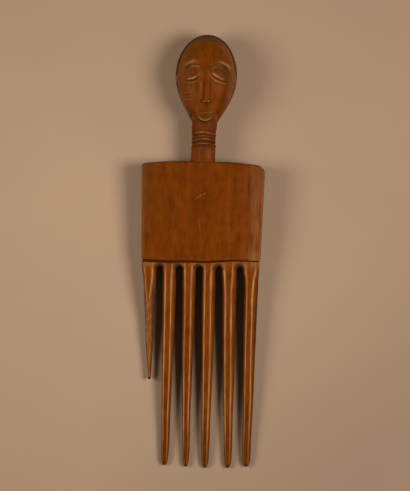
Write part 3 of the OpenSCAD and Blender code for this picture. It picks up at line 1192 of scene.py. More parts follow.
    def face_shade(self, x: Array, h: Array) -> Array:
        """Find how dark the shaded places are: beside and under the nose, and under the chin.

        Args:
            x: places across the face.
            h: heights above the chin.

        Returns:
            The red-brown shade at each place.
        """
        from_nose = x - self.nose_x
        flank = bump(from_nose + 1.65, 0.9) * ramp(h, 12.5, 2.0) * ramp(h, 27.0, -4.0)
        under = bump(h - self.nose_tip_h + 0.35, 0.9) * bump(from_nose, 3.0)
        chin = ramp(h, 0.1 + self.sizes.chin_line(x), -0.4) * (1.0 - ramp(np.abs(x), 3.2, 2.0))
        lip = self.shaded_lip.at(x, h) + self.shaded_mouth.at(x, h)
        return 0.6 * flank + 0.9 * under + lip + 0.95 * chin + 0.12 * (1.0 - ramp(h, 3.0, 12.0))

    def face_red(self, x: Array, h: Array) -> Array:
        """Find how much the bare red wood shows: on the eyeballs, the lips and in worn patches.

        Args:
            x: places across the face.
            h: heights above the chin.

        Returns:
            The bareness at each place.
        """
        worn = patches(np.stack([x, h, 0.0 * x], axis=-1), (4.5, 6.0, 1.0), 61)
        lips = self.red_mouth.at(x, h)
        return LEFT_EYE.red(x, h) + RIGHT_EYE.red(x, h) + lips + 0.45 * worn * ramp(h, 40.0, -8.0)

    def face_shape(self) -> Shape:
        """Build the front of the head.

        Returns:
            A closed half solid whose flat back lies against the hair cap.
        """
        rows, columns = self.rows(self.face_rows), self.columns(self.face_columns)
        share, across = np.meshgrid(rows, columns, indexing="ij")
        x = across * self.half_width(share, self.face_w)
        h = share * (self.length - self.cap_edge)
        skin = self.section(across, self.face_power)
        hold = smooth(skin * 1.6)
        z = skin * self.middle_depth(share, self.face_depth, self.chin_depth_share)
        z = z + hold * self.relief(x, h) * smooth((1.0 - share) * 8)
        points = np.stack([x, self.sizes.chin_y + h, z], axis=-1)
        points[..., 2] += sum(marks.at(points) for marks in self.face_marks) * hold
        under = np.sqrt(np.clip(self.sizes.neck_high_d**2 / 4 - x**2, 0.0, None)) - 0.2
        lower = np.minimum(points[..., 2], np.maximum(under, 0.0))
        points[..., 2] = mix(lower, points[..., 2], self.over_neck(x, h))
        made = self.half_solid(points).moved(self.sizes.head_shift)
        jaw_corners = self.jaw_corner.at(x, h)
        above_seam = ramp(points[..., 2], 2.2, 3.5)
        made.handled = np.append((1.0 - jaw_corners) * above_seam, 0.0)
        # At the face's outline the wear is painted sheen on the rounded edge, stronger on the
        # right.
        for name, values, at_edge in (
            ("wear", self.face_wear(x, h), 0.2 * ramp(x, -4.0, 8.0) + 0.08),
            ("dirt", self.face_dirt(x, h), 0.0),
            ("bare", self.face_red(x, h), 0.0),
            ("shade", self.face_shade(x, h), 0.0),
        ):
            made.traits[name] = np.append(mix(at_edge, np.clip(values, 0, 1), hold), 0.0)
        return made

    def half_solid(self, dome: Array) -> Shape:
        """Close a dome of rows by columns with a flat back, a flat end and a crown point.

        Args:
            dome: points as rows by columns by 3, whose outer columns lie on the flat back.

        Returns:
            The closed solid, whose last point is the crown.
        """
        rows, columns, _ = dome.shape
        row, col = np.meshgrid(np.arange(rows - 1), np.arange(columns - 1), indexing="ij")
        first = row * columns + col
        above = first + columns
        quads = np.stack([first, first + 1, above + 1, above], axis=-1).reshape(-1, 4)
        faces: list[Sequence[int]] = [tuple(quad) for quad in quads.tolist()]
        crown = rows * columns
        last = crown - columns
        faces += [(last + j, last + j + 1, crown) for j in range(columns - 1)]
        faces.append((crown - 1, last, crown))
        for start in range(0, last, columns):
            faces.append((start + columns - 1, start, start + columns, start + 2 * columns - 1))
        faces.append(tuple(range(columns - 1, -1, -1)))
        top = dome[-1, :, 1].max() + 0.01
        return Shape(np.vstack([dome.reshape(-1, 3), [[0.0, top, 0.0]]]), faces).outward()

    def cap_shape(self) -> Shape:
        """Build the hair cap.

        Returns:
            The closed back of the head, with a rolled edge round the face.
        """
        across = self.columns(self.cap_columns)
        part = np.arange(1, self.lip_steps + 1) / self.lip_steps
        inner_length = self.length - self.cap_edge - self.cap_edge_slope
        loops = []
        for share in self.rows(self.cap_rows)[:-1]:
            cap_half = float(self.half_width(share, self.cap_w))
            face_half = max(float(self.half_width(share, self.face_w)) - 0.5, 0.02)
            depth = float(self.middle_depth(share, self.cap_depth, self.nape_depth_share))
            y = self.sizes.chin_y + share * self.length
            inner_y = self.sizes.chin_y + share * inner_length
            section = -self.section(across, self.cap_power) * depth
            back = np.stack([across * cap_half, np.full(len(across), y), section], axis=-1)
            rim_x = mix(cap_half, min(face_half, cap_half - 0.01), part)
            rim_z = self.edge_relief * smooth(share * 5) * np.sin(np.pi * part) ** 0.7
            rim = np.stack([rim_x, mix(y, inner_y, part), rim_z], axis=-1)
            loops.append(np.vstack([back, rim, rim[::-1] * np.array([-1.0, 1.0, 1.0])]))
        points = np.array(loops)
        away = points - np.array([0.0, self.sizes.chin_y + self.length / 2, 0.0])
        away /= np.linalg.norm(away, axis=-1, keepdims=True)
        inside = smooth(-points[..., 2] / 3.0)
        points = points - away * (np.abs(self.cap_marks.at(points)) * inside)[..., None]
        h, z = points[..., 1] - self.sizes.chin_y, points[..., 2]
        unstained = (1.0 - ramp(h, 14.0, 9.0)) * ramp(z, -4.5, 2.5)
        # The rolled edge of the cap is painted darker.
        edge = ramp(z, -0.6, 0.6) * ramp(h, 16.0, 8.0)
        painted = {"bare": 0.85 * unstained, "dirt": 0.4 * edge}
        return loft(points, painted).moved(self.sizes.head_shift)

    def build(self, shop: Workshop) -> None:
        """Make the four pieces of the head.

        Args:
            shop: makes the objects.
        """
        face, cap = self.face_shape(), self.cap_shape()
        shop.piece("carved_face", "face", face, Finish.PATINATED, self.rubbing)
        shop.piece("carved_hair_cap", "hair_cap", cap, Finish.DARK_STAINED, self.rubbing)
        for ear, name in zip(self.ears, ("left_ear", "right_ear")):
            shape = ear.shape(self.sizes.chin_y).moved(self.sizes.head_shift)
            shop.piece(f"carved_{name}", name, shape, Finish.PATINATED, self.rubbing)


@dataclass
class Neck:
    """The neck: a whittled foot, the shaft and the cut rings."""

    sizes: CombSizes
    foot_h: float = 5.8
    under_chin: float = 4.5
    flats: int = 11
    flats_turn: float = 0.35
    ring_count: int = 5
    ring_pitch: float = 2.25
    ring_t: float = 1.4
    ring_relief: float = 0.75
    ring_lean_deg: float = 10.0
    ring_arch: float = 0.8
    ring_back_drop: float = 2.1
    ring_unevenness: float = 0.35
    ring_seed: int = 5
    ring_points: int = 96
    bead_points: int = 20
    ring_knots: tuple[float, ...] = (
        -1, -0.3, 0, 0.3, 0.7, 1, 1.3, 1.7, 2, 2.3, 2.7, 3, 3.3, 3.7, 4, 4.3, 5
    )
    ring_heights: tuple[float, ...] = (
        -2.4, -0.9, 0.0, 0.95, 1.1, 2.0, 3.1, 3.85, 4.65, 5.5, 6.3, 6.9, 7.45, 8.0, 8.8, 9.5, 11.0
    )
    marks: Marks = Marks(0.008, (2.5, 7.0, 2.5), 12)
    rows: int = 120
    around: int = 132
    shaft_rubbing: Rubbing = Rubbing(10, 0.03, 0.5)
    ring_rubbing: Rubbing = Rubbing(3, 0.05, 0.7)

    @property
    def rings_middle(self) -> float:
        """Height of the middle ring over the plate."""
        return self.foot_h + self.ring_back_drop + self.ring_pitch * (self.ring_count - 1) / 2

    def shaft_shape(self) -> Shape:
        """Build the neck, with whittled flats that fade out under the rings.

        Returns:
            The closed shaft.
        """
        s = self.sizes
        turn = np.linspace(0, 2 * np.pi, self.around, endpoint=False)
        along, angle = np.meshgrid(np.linspace(0.0, 1.0, self.rows), turn, indexing="ij")
        up = along * (s.neck_l + self.under_chin)
        foot = 1.0 - smooth(up / self.foot_h)
        top = ramp(up - s.neck_l, -5.2, 1.6)
        waist = bump(up - self.rings_middle, 7.5)
        wide = s.neck_low_w + 0.4 * foot * (s.neck_foot_w - s.neck_low_w)
        wide += top * (s.neck_high_d - s.neck_low_w)
        deep = s.neck_d + foot * (s.plate_top_t - s.neck_d) + top * (s.neck_high_d - s.neck_d)
        step = 2 * np.pi / self.flats
        flat = math.cos(step / 2) / np.cos((angle + self.flats_turn) % step - step / 2)
        radius = mix(flat * 1.012, 1.0, ramp(up, 5.5, 3.5))
        x = (wide / 2 - 0.5 * waist) * radius * np.cos(angle)
        z = (deep / 2 - 0.25 * waist) * radius * np.sin(angle)
        points = np.stack([x, s.plate_h + up, z], axis=-1)
        points[..., ::2] *= 1.0 + self.marks.at(points)[..., None]
        chin_x = float(s.head_shift(np.array(s.chin_y))) - s.neck_x
        points[..., 0] += chin_x * ramp(up - s.neck_l, -6.0, 6.0)
        traits = self.shaft_traits(points, up, points[..., 0] - chin_x)
        return loft(points, traits).sheltered(s.plate_h, reach=1.5).moved(s.neck_x)

    def shaft_traits(self, points: Array, up: Array, across: Array) -> dict[str, Array]:
        """Paint the dark band under the rings, the painted shadow under the chin, a painted
        highlight stripe and the rubbed patches.

        Args:
            points: the loops of the shaft.
            up: the height of each point over the plate.
            across: the place of each point from the middle of the chin.

        Returns:
            The four traits of each point.
        """
        x, front = points[..., 0], points[..., 2] > 0
        below_line = self.sizes.chin_line(across) - (up - self.sizes.neck_l)
        beside = ramp(np.abs(across), 2.8, 2.0)
        # Under the chin the shade and the dirt, which turns near black, are painted shadow.
        under_chin = smooth(2.0 - below_line / 1.25) * (1.0 - beside) * front
        upper = ramp(up - self.rings_middle, 5.0, 2.0)
        under_rings = smooth(3.0 * bump(up - self.rings_middle - 1.1, 5.8))
        worn = patches(points, (2.2, 9.0, 4.0), 13)
        # A painted highlight stripe down the front of the lower neck, right of the middle.
        painted_highlight_strip = 0.55 * bump(x - 3.3, 1.2) * ramp(up, 1.0, 2.0) * ramp(up, 7.5, -2.0) * front
        return {
            "dirt": 0.1 + 0.1 * under_rings + 0.68 * under_chin,
            "shade": np.maximum(0.85 * under_rings, 0.95 * under_chin) + 0.08 + 0.2 * upper,
            "bare": 0.3 + 0.5 * worn,
            "wear": painted_highlight_strip + 0.12 * worn * (1.0 - under_rings),
        }

    def ring_tree(self) -> bpy.types.NodeTree:
        """Build the tree that cuts the rings.

        Returns:
            A geometry tree whose named inputs are the sizes of the rings, in millimetres.
        """
        tree = bpy.data.node_groups.new("neck rings", "GeometryNodeTree")
        for name, kind, value in (
            ("Ring count", "Int", self.ring_count),
            ("Pitch", "Float", self.ring_pitch),
            ("Neck radius", "Float", self.sizes.neck_d / 2 - 0.2),
            ("Relief", "Float", self.ring_relief),
            ("Thickness", "Float", self.ring_t),
            ("Lean", "Float", -math.radians(self.ring_lean_deg)),
            ("Unevenness", "Float", self.ring_unevenness),
            ("Seed", "Int", self.ring_seed),
            ("Finish", "Material", None),
        ):
            socket_type = f"NodeSocket{kind}"
            socket = tree.interface.new_socket(name, in_out="INPUT", socket_type=socket_type)
            if value is not None:
                socket.default_value = value
        tree.interface.new_socket("Geometry", in_out="OUTPUT", socket_type="NodeSocketGeometry")
        add = functools.partial(add_node, tree)
        given = add("NodeGroupInput").outputs
        circle, bead = (
            add("GeometryNodeCurvePrimitiveCircle", {"Resolution": count, "Radius": radius})
            for count, radius in ((self.ring_points, given["Neck radius"]), (self.bead_points, 1.0))
        )
        half_t = add("ShaderNodeMath", {0: given["Thickness"], 1: 0.5}, operation="MULTIPLY")
        oval = add("ShaderNodeCombineXYZ", {"X": given["Relief"], "Y": half_t, "Z": 1.0})
        profile = add("GeometryNodeTransform", {"Geometry": bead, "Scale": oval})
        ring = add("GeometryNodeCurveToMesh", {"Curve": circle, "Profile Curve": profile})
        step = add("ShaderNodeCombineXYZ", {"Z": given["Pitch"]})
        places = add("GeometryNodeMeshLine", {"Count": given["Ring count"], "Offset": step})
        lean = add("ShaderNodeCombineXYZ", {"X": given["Lean"]})
        sway, width = (
            add(
                "FunctionNodeRandomValue",
                {0: low, 1: high, "Seed": given["Seed"]},
                data_type="FLOAT_VECTOR",
            )
            for low, high in (
                ((-0.03, -0.05, 0.0), (0.03, 0.05, 0.0)),
                ((0.985, 0.985, 0.75), (1.015, 1.015, 1.15)),
            )
        )
        turned = add("ShaderNodeVectorMath", {0: lean, 1: sway}, operation="ADD")
        copies = add(
            "GeometryNodeInstanceOnPoints",
            {"Points": places, "Instance": ring, "Rotation": turned, "Scale": width},
        )
        solid = add("GeometryNodeRealizeInstances", {"Geometry": copies})
        where = add("GeometryNodeInputPosition")
        pattern = {"Vector": where, "W": given["Seed"], "Scale": 0.22, "Detail": 1.0}
        rough = add("ShaderNodeTexNoise", pattern, noise_dimensions="4D").outputs["Color"]
        centred = add("ShaderNodeVectorMath", {0: rough, 1: (0.5, 0.5, 0.5)}, operation="SUBTRACT")
        uneven = {0: centred, "Scale": given["Unevenness"]}
        push = add("ShaderNodeVectorMath", uneven, operation="SCALE")
        carved = add("GeometryNodeSetPosition", {"Geometry": solid, "Offset": push})
        dressed = add("GeometryNodeSetMaterial", {"Geometry": carved, "Material": given["Finish"]})
        add("NodeGroupOutput", {"Geometry": dressed})
        return tree

    def ring_shape(self, shop: Workshop) -> Shape:
        """Run the ring tree and lay its rings round the neck.

        Args:
            shop: gives the material.

        Returns:
            The rings, as many closed solids.
        """
        tree = self.ring_tree()
        cutter = new_object("ring_cutter", bpy.data.meshes.new("ring_cutter"))
        rings = cutter.modifiers.new("Neck rings", "NODES")
        rings.node_group = tree
        items = tree.interface.items_tree
        sockets = {item.name: item.identifier for item in items if item.in_out == "INPUT"}
        rings[sockets["Finish"]] = shop.material(Finish.PATINATED)
        graph = bpy.context.evaluated_depsgraph_get()
        mesh = bpy.data.meshes.new_from_object(cutter.evaluated_get(graph))
        bpy.data.objects.remove(cutter)
        x, y, z = read_vectors(mesh.vertices, "co").T
        radius = self.sizes.neck_d / 2
        low_y = self.sizes.plate_h + self.foot_h + self.ring_back_drop
        height = np.interp(z / self.ring_pitch, self.ring_knots, self.ring_heights)
        own = np.stack([x, low_y + height - self.ring_arch * (x / radius) ** 2, -y], axis=-1)
        crest = ramp(np.hypot(x, y) - radius, -0.05, 0.42)
        patchy = np.clip(0.55 + 0.75 * noise(own, (2.4, 1.6, 3.0), 17), 0.0, 1.0)
        facing = np.clip(own[:, 2] / radius, 0.0, 1.0) ** 2
        traits = {
            "wear": 0.35 * crest * patchy * facing,
            "shade": 0.9 * (1.0 - crest) + 0.2 * (1.0 - facing),
            "bare": np.full(len(own), 0.3),
        }
        shape = Shape(own, [tuple(face.vertices) for face in mesh.polygons], traits).outward()
        return shape.moved(self.sizes.neck_x)

    def build(self, shop: Workshop) -> None:
        """Make the neck and its rings.

        Args:
            shop: makes the objects.
        """
        for name, shape, rubbing in (
            ("neck", self.shaft_shape(), self.shaft_rubbing),
            ("neck_rings", self.ring_shape(shop), self.ring_rubbing),
        ):
            shop.piece(f"carved_{name}", name, shape, Finish.PATINATED, rubbing)


@dataclass
class Plate:
    """The flat plate with its arched top, uneven corners and softened edges."""

    sizes: CombSizes
    top_w: float = 74.2
    base_w: float = 71.6
    arch_drop: float = 2.0
    right_corner_r: float = 4.6
    left_corner_r: float = 1.8
    edge_r: float = 1.2
    low_edge_r: float = 0.42
    low_edge_fall: float = 0.3
    right_fall: float = 0.5
    left_fall: float = 0.3
    marks: tuple[Marks, ...] = (
        Marks(0.07, (5.0, 26.0, 50.0), 21),
        Marks(0.035, (2.0, 12.0, 50.0), 22),
    )
    pale_corner: Spot = Spot((33.0, 2.0), (9.0, 7.0), 0.2)
    rows: int = 170
    front_columns: int = 190
    side_columns: int = 12
    back_columns: int = 60
    rubbing: Rubbing = Rubbing(12, 0.08, 1.1)

    def half_widths(self, y: float) -> tuple[float, float]:
        """Find how far the sides lie from the middle.

        Args:
            y: a height over the incised line.

        Returns:
            The distance to the left and to the right side.
        """
        top = self.sizes.plate_h
        rise = min(max(y / (top - self.right_corner_r), 0.0), 1.0)
        straight = mix(self.base_w / 2, self.top_w / 2, rise)
        sides = []
        for radius in (self.left_corner_r, self.right_corner_r):
            into = min(max(y - (top - radius), 0.0), radius)
            sides.append(straight - radius + math.sqrt(max(radius**2 - into**2, 0.0)))
        return sides[0], sides[1]

    def front_z(self, x: Array, y: float) -> Array:
        """Find the height of the hand-worked front over the mid-plane.

        Args:
            x: places across the plate.
            y: a height over the incised line.

        Returns:
            The height, which falls towards both sides.
        """
        s = self.sizes
        right = self.right_fall * ramp(x - self.top_w / 2, -9.0, 9.0)
        left = self.left_fall * ramp(-x - self.top_w / 2, -5.0, 5.0)
        return mix(s.plate_base_t, s.plate_top_t, y / s.plate_h) / 2 - right - left

    def run_out(self, x: Array) -> Array:
        """Return how far out from the neck's seat each place is, from 0 to 1."""
        seat = self.sizes.neck_foot_w / 2
        return np.clip((np.abs(x) - seat) / (self.top_w / 2 - seat), 0.0, 1.0)

    def heights(self) -> Array:
        """Space the loops from the incised line to the top.

        Returns:
            Their heights, closer together at the low edge and the upper corners.
        """
        low = self.low_edge_r * (1.0 - np.cos(np.linspace(0, np.pi / 2, 7)))
        corner_y = self.sizes.plate_h - self.right_corner_r
        body = np.linspace(low[-1], corner_y, self.rows)[1:]
        turn = np.sin(np.linspace(0, np.pi / 2, 26)[1:])
        return np.concatenate([low, body, corner_y + self.right_corner_r * turn])

    def loop(self, y: float) -> Array:
        """Draw one loop round the plate.

        Args:
            y: its height over the incised line.

        Returns:
            Its points: the front, the rounded right side, the back and the left side.
        """
        left, right = self.half_widths(y)
        r = self.edge_r
        near_top = np.clip((y - (self.sizes.plate_h - r)) / r, 0.0, 1.0)
        near_low = np.clip((self.low_edge_r - y) / self.low_edge_r, 0.0, 1.0)
        thin = r * (1.0 - math.sqrt(1.0 - near_top**2))
        thin += self.low_edge_fall * (1.0 - math.sqrt(1.0 - near_low**2))
        x_front = np.linspace(-left + r, right - r, self.front_columns)
        x_back = np.linspace(right - r, -left + r, self.back_columns)
        z_front = self.front_z(x_front, y) - thin
        z_back = -self.front_z(x_back * 0.6, y) + thin
        angle = np.linspace(np.pi / 2, -np.pi / 2, self.side_columns + 2)[1:-1]
        wide = np.abs(np.cos(angle)) ** 0.5
        tall = np.sign(np.sin(angle)) * np.abs(np.sin(angle)) ** 0.5
        z_right, z_left = (
            (top_z + low_z) / 2 + (top_z - low_z) / 2 * tall
            for top_z, low_z in ((z_front[-1], z_back[0]), (z_front[0], z_back[-1]))
        )
        x = np.concatenate([x_front, right - r + r * wide, x_back, -(left - r + r * wide)[::-1]])
        z = np.concatenate([z_front, z_right, z_back, z_left[::-1]])
        return np.stack([x, np.full(len(x), y), z], axis=-1)

    def shape(self) -> Shape:
        """Build the plate from its loops.

        Returns:
            The closed plate, arched at the top and waved along the incised line.
        """
        points = np.array([self.loop(float(y)) for y in self.heights()])
        x, y, z = (points[..., axis] for axis in range(3))
        y -= self.arch_drop * self.run_out(x) ** 2 * (y / self.sizes.plate_h) ** 2
        y += self.sizes.line_y(x) * (1.0 - smooth(y / 6.0))
        z += sum(marks.at(points) for marks in self.marks) * np.sign(z)
        return loft(points, self.traits(points)).sheltered(0.0, reach=1.2)

    def traits(self, points: Array) -> dict[str, Array]:
        """Paint the pale right edge, the painted shade along the top, and the front's clouds and
        scratches.

        Args:
            points: the loops of the plate.

        Returns:
            The four traits of each point.
        """
        x, y, front = points[..., 0], points[..., 1], points[..., 2] > 0
        streaky = np.clip(0.6 + 0.7 * noise(points, (0.8, 22.0, 50.0), 23), 0, 1.3)
        # The pale right zone is partly wear and partly painted sheen, where the front falls away.
        sides = 0.2 * streaky * ramp(x, 20.0, 13.0) + 0.06 * ramp(-x, 33.0, 2.0)
        corner = self.pale_corner.at(x, y)
        band = 0.05 * bump(x - 15.8, 2.2) * ramp(y, 46.0, -20.0)
        top_y = self.sizes.plate_h - self.arch_drop * self.run_out(x) ** 2
        # Painted shade along the top edge, where its bevel turns away.
        top = 0.55 * ramp(y - top_y, -0.5, 0.4)
        left = 0.3 * ramp(-x, 22.0, 12.0) * ramp(y, 8.0, 30.0)
        low, tall, wide = (
            patches(points, (*cell, 50.0), seed, 0.1)
            for cell, seed in (((3.5, 6.0), 25), ((2.0, 7.0), 26), ((8.0, 24.0), 27))
        )
        return {
            "wear": self.scratches(points) + (sides + corner + band) * front,
            "dirt": np.maximum(top, left) + 0.07 * low * front,
            "bare": 0.35 * patches(points, (6.0, 9.0, 50.0), 24, 0.2) * front,
            "shade": (0.16 * low + 0.22 * tall + 0.22 * wide) * front,
        }

    def scratches(self, points: Array) -> Array:
        """Paint the pale curved scratch and the faint upright one on the front.

        Args:
            points: the loops of the plate.

        Returns:
            The wear that they leave.
        """
        x, y, z = (points[..., axis] for axis in range(3))
        curve_y = 36.2 + 5.0 * np.sqrt(np.clip((x + 4.6) / 7.0, 0.0, 1.0))
        curved = 0.4 * bump(y - curve_y, 0.5) * ramp(x, -4.8, 0.8) * ramp(x, 2.4, -0.8)
        upright_x = -1.8 + (26.3 - y) * 0.12
        upright = 0.22 * bump(x - upright_x, 0.35) * ramp(y, 13.0, 2.0) * ramp(y, 26.3, -2.0)
        return (curved + upright) * (z > 0)

    def build(self, shop: Workshop) -> None:
        """Make the plate."""
        shop.piece("carved_plate", "plate", self.shape(), Finish.PATINATED, self.rubbing)


@dataclass
class ToothRail:
    """The band under the incised line, with the round, bevelled roots of the gaps."""

    sizes: CombSizes
    incision_left_w: float = 1.75
    incision_right_w: float = 0.8
    incision_depth: float = 1.1
    marks: Marks = Marks(0.05, (1.6, 1.6, 50.0), 31)
    rubbing: Rubbing = Rubbing(6, 0.1, 0.8)

    def incision_w(self, x: Array) -> Array:
        """Width of the incised line, which the hand cut wider at its left end."""
        return mix(self.incision_left_w, self.incision_right_w, smooth(x / self.sizes.rail_w + 0.5))

    def columns(self) -> Array:
        """Space the columns across the band, closer together round each root.

        Returns:
            Their places.
        """
        s = self.sizes
        radius = s.gap_w / 2
        arc = radius * np.sin(np.linspace(-np.pi / 2, np.pi / 2, 25))
        right_flank, left_flank = (np.linspace(0, s.flank_w(side), 8) for side in (1, -1))
        places = [s.rail_w / 2 - right_flank, left_flank - s.rail_w / 2]
        for gap in s.gap_x:
            places += [gap + arc, gap - radius - right_flank, gap + radius + left_flank]
        places += [np.linspace(*s.flat_span(index), 16) for index in s.teeth]
        return np.unique(np.round(np.concatenate(places), 4))

    def from_gaps(self, x: Array, y: Array) -> list[tuple[Array, Array]]:
        """Measure places from each gap.

        Args:
            x: places across the band.
            y: places along the comb.

        Returns:
            For each gap, the distance from its side and the width of its bevel there.
        """
        s = self.sizes
        return [
            (
                np.hypot(x - gap, np.maximum(y + s.rail_h, 0.0)) - s.gap_w / 2,
                mix(s.flank_w(1), s.flank_w(-1), smooth((x - gap) / s.gap_w + 0.5)),
            )
            for gap in s.gap_x
        ]

    def front_z(self, x: Array, y: Array) -> Array:
        """Find the height of the front of the band, with its bevels.

        Args:
            x: places across the band.
            y: places along the comb.

        Returns:
            The height over the mid-plane.
        """
        s = self.sizes
        left = 1.0 - (x + s.rail_w / 2) / s.flank_w(-1)
        right = 1.0 - (s.rail_w / 2 - x) / s.flank_w(1)
        fall = np.maximum(left, right)
        for away, flank in self.from_gaps(x, y):
            fall = np.maximum(fall, 1.0 - away / flank)
        return s.rail_t / 2 - s.gap_bevel * np.clip(fall, 0.0, 1.0)

    def column(self, x: float) -> Array:
        """Draw one loop from front to back.

        Args:
            x: its place across the band.

        Returns:
            Its points, with a step for the incised line at each top edge.
        """
        s = self.sizes
        into_gap = max((s.gap_w / 2) ** 2 - (x - gap) ** 2 for gap in s.gap_x)
        low = math.sqrt(max(into_gap, 0.0)) - s.rail_h
        cut = float(self.incision_w(x))
        y = np.concatenate([np.linspace(low, -cut, 22), [-cut + 0.02, -cut / 2, 0.0]])
        z = self.front_z(np.full(len(y), x), y)
        z[0] = max(z[0], 0.4)
        z[-3:] = np.minimum(z[-3:], s.rail_t / 2 - self.incision_depth)
        front = np.stack([np.full(len(y), x), y, z], axis=-1)
        return np.vstack([front, front[::-1] * np.array([1.0, 1.0, -1.0])])

    def shape(self) -> Shape:
        """Build the band from its loops.

        Returns:
            The closed band, waved along the incised line.
        """
        s = self.sizes
        points = np.array([self.column(float(x)) for x in self.columns()])
        x, y, z = (points[..., axis] for axis in range(3))
        z += self.marks.at(points) * np.sign(z) * ramp(y, -s.rail_h, 0.8)
        traits = self.traits(points)
        y += s.line_y(x) * ramp(y, -s.rail_h, 4.0)
        return loft(points, traits).sheltered(0.0, -s.rail_h, reach=1.5)

    def traits(self, points: Array) -> dict[str, Array]:
        """Paint the rubbed ridges, the painted shade round the roots of the gaps and the incised
        line.

        Args:
            points: the loops of the band, before the waves of the incised line.

        Returns:
            The wear, the dirt and the shade of each point.
        """
        s = self.sizes
        x, y, front = points[..., 0], points[..., 1], points[..., 2] > 0
        groove = smooth((y + self.incision_w(x)) / 0.02)
        gaps = self.from_gaps(x, y)
        ridge = sum(bump(away - flank, 1.1) for away, flank in gaps)
        rim = sum(1.0 - smooth(away / flank) for away, flank in gaps)
        lines = sum(bump(x - edge, 0.9) for index in s.teeth for edge in s.flat_span(index))
        high = ramp(y, -s.rail_h, 3.0)
        patchy = noise(np.stack([x, y, x * 0], axis=-1), (1.8, 1.6, 1.0), 33)
        ends = ramp(np.abs(x), 24.0, 9.0)
        band = (0.06 + 0.16 * ends + 0.3 * ridge * np.clip(0.6 + 0.8 * patchy, 0, 1.2)) * high
        wear = np.clip(band + 0.5 * lines * mix(0.4, 1.0, 1.0 - high), 0, 1)
        # Round the roots of the gaps the dirt is painted shade.
        dirt = 0.65 * rim + 0.2 * high * (1.0 - ends) * (0.6 + 0.5 * patchy)
        return {
            "wear": wear * (1.0 - groove) * front,
            "dirt": dirt * (1.0 - groove) * front,
            "shade": groove * front,
        }

    def build(self, shop: Workshop) -> None:
        """Make the band."""
        shop.piece("carved_tooth_rail", "tooth_rail", self.shape(), Finish.WORN, self.rubbing)


@dataclass(frozen=True)
class Whittling:
    """How the hand left one tooth: where its tip is, its size, its sides and its pale lines."""

    tip_share: float
    length_share: float
    width_share: float
    side_shares: tuple[float, float]
    line_strengths: tuple[float, float]
    slimmer: float = 0.0


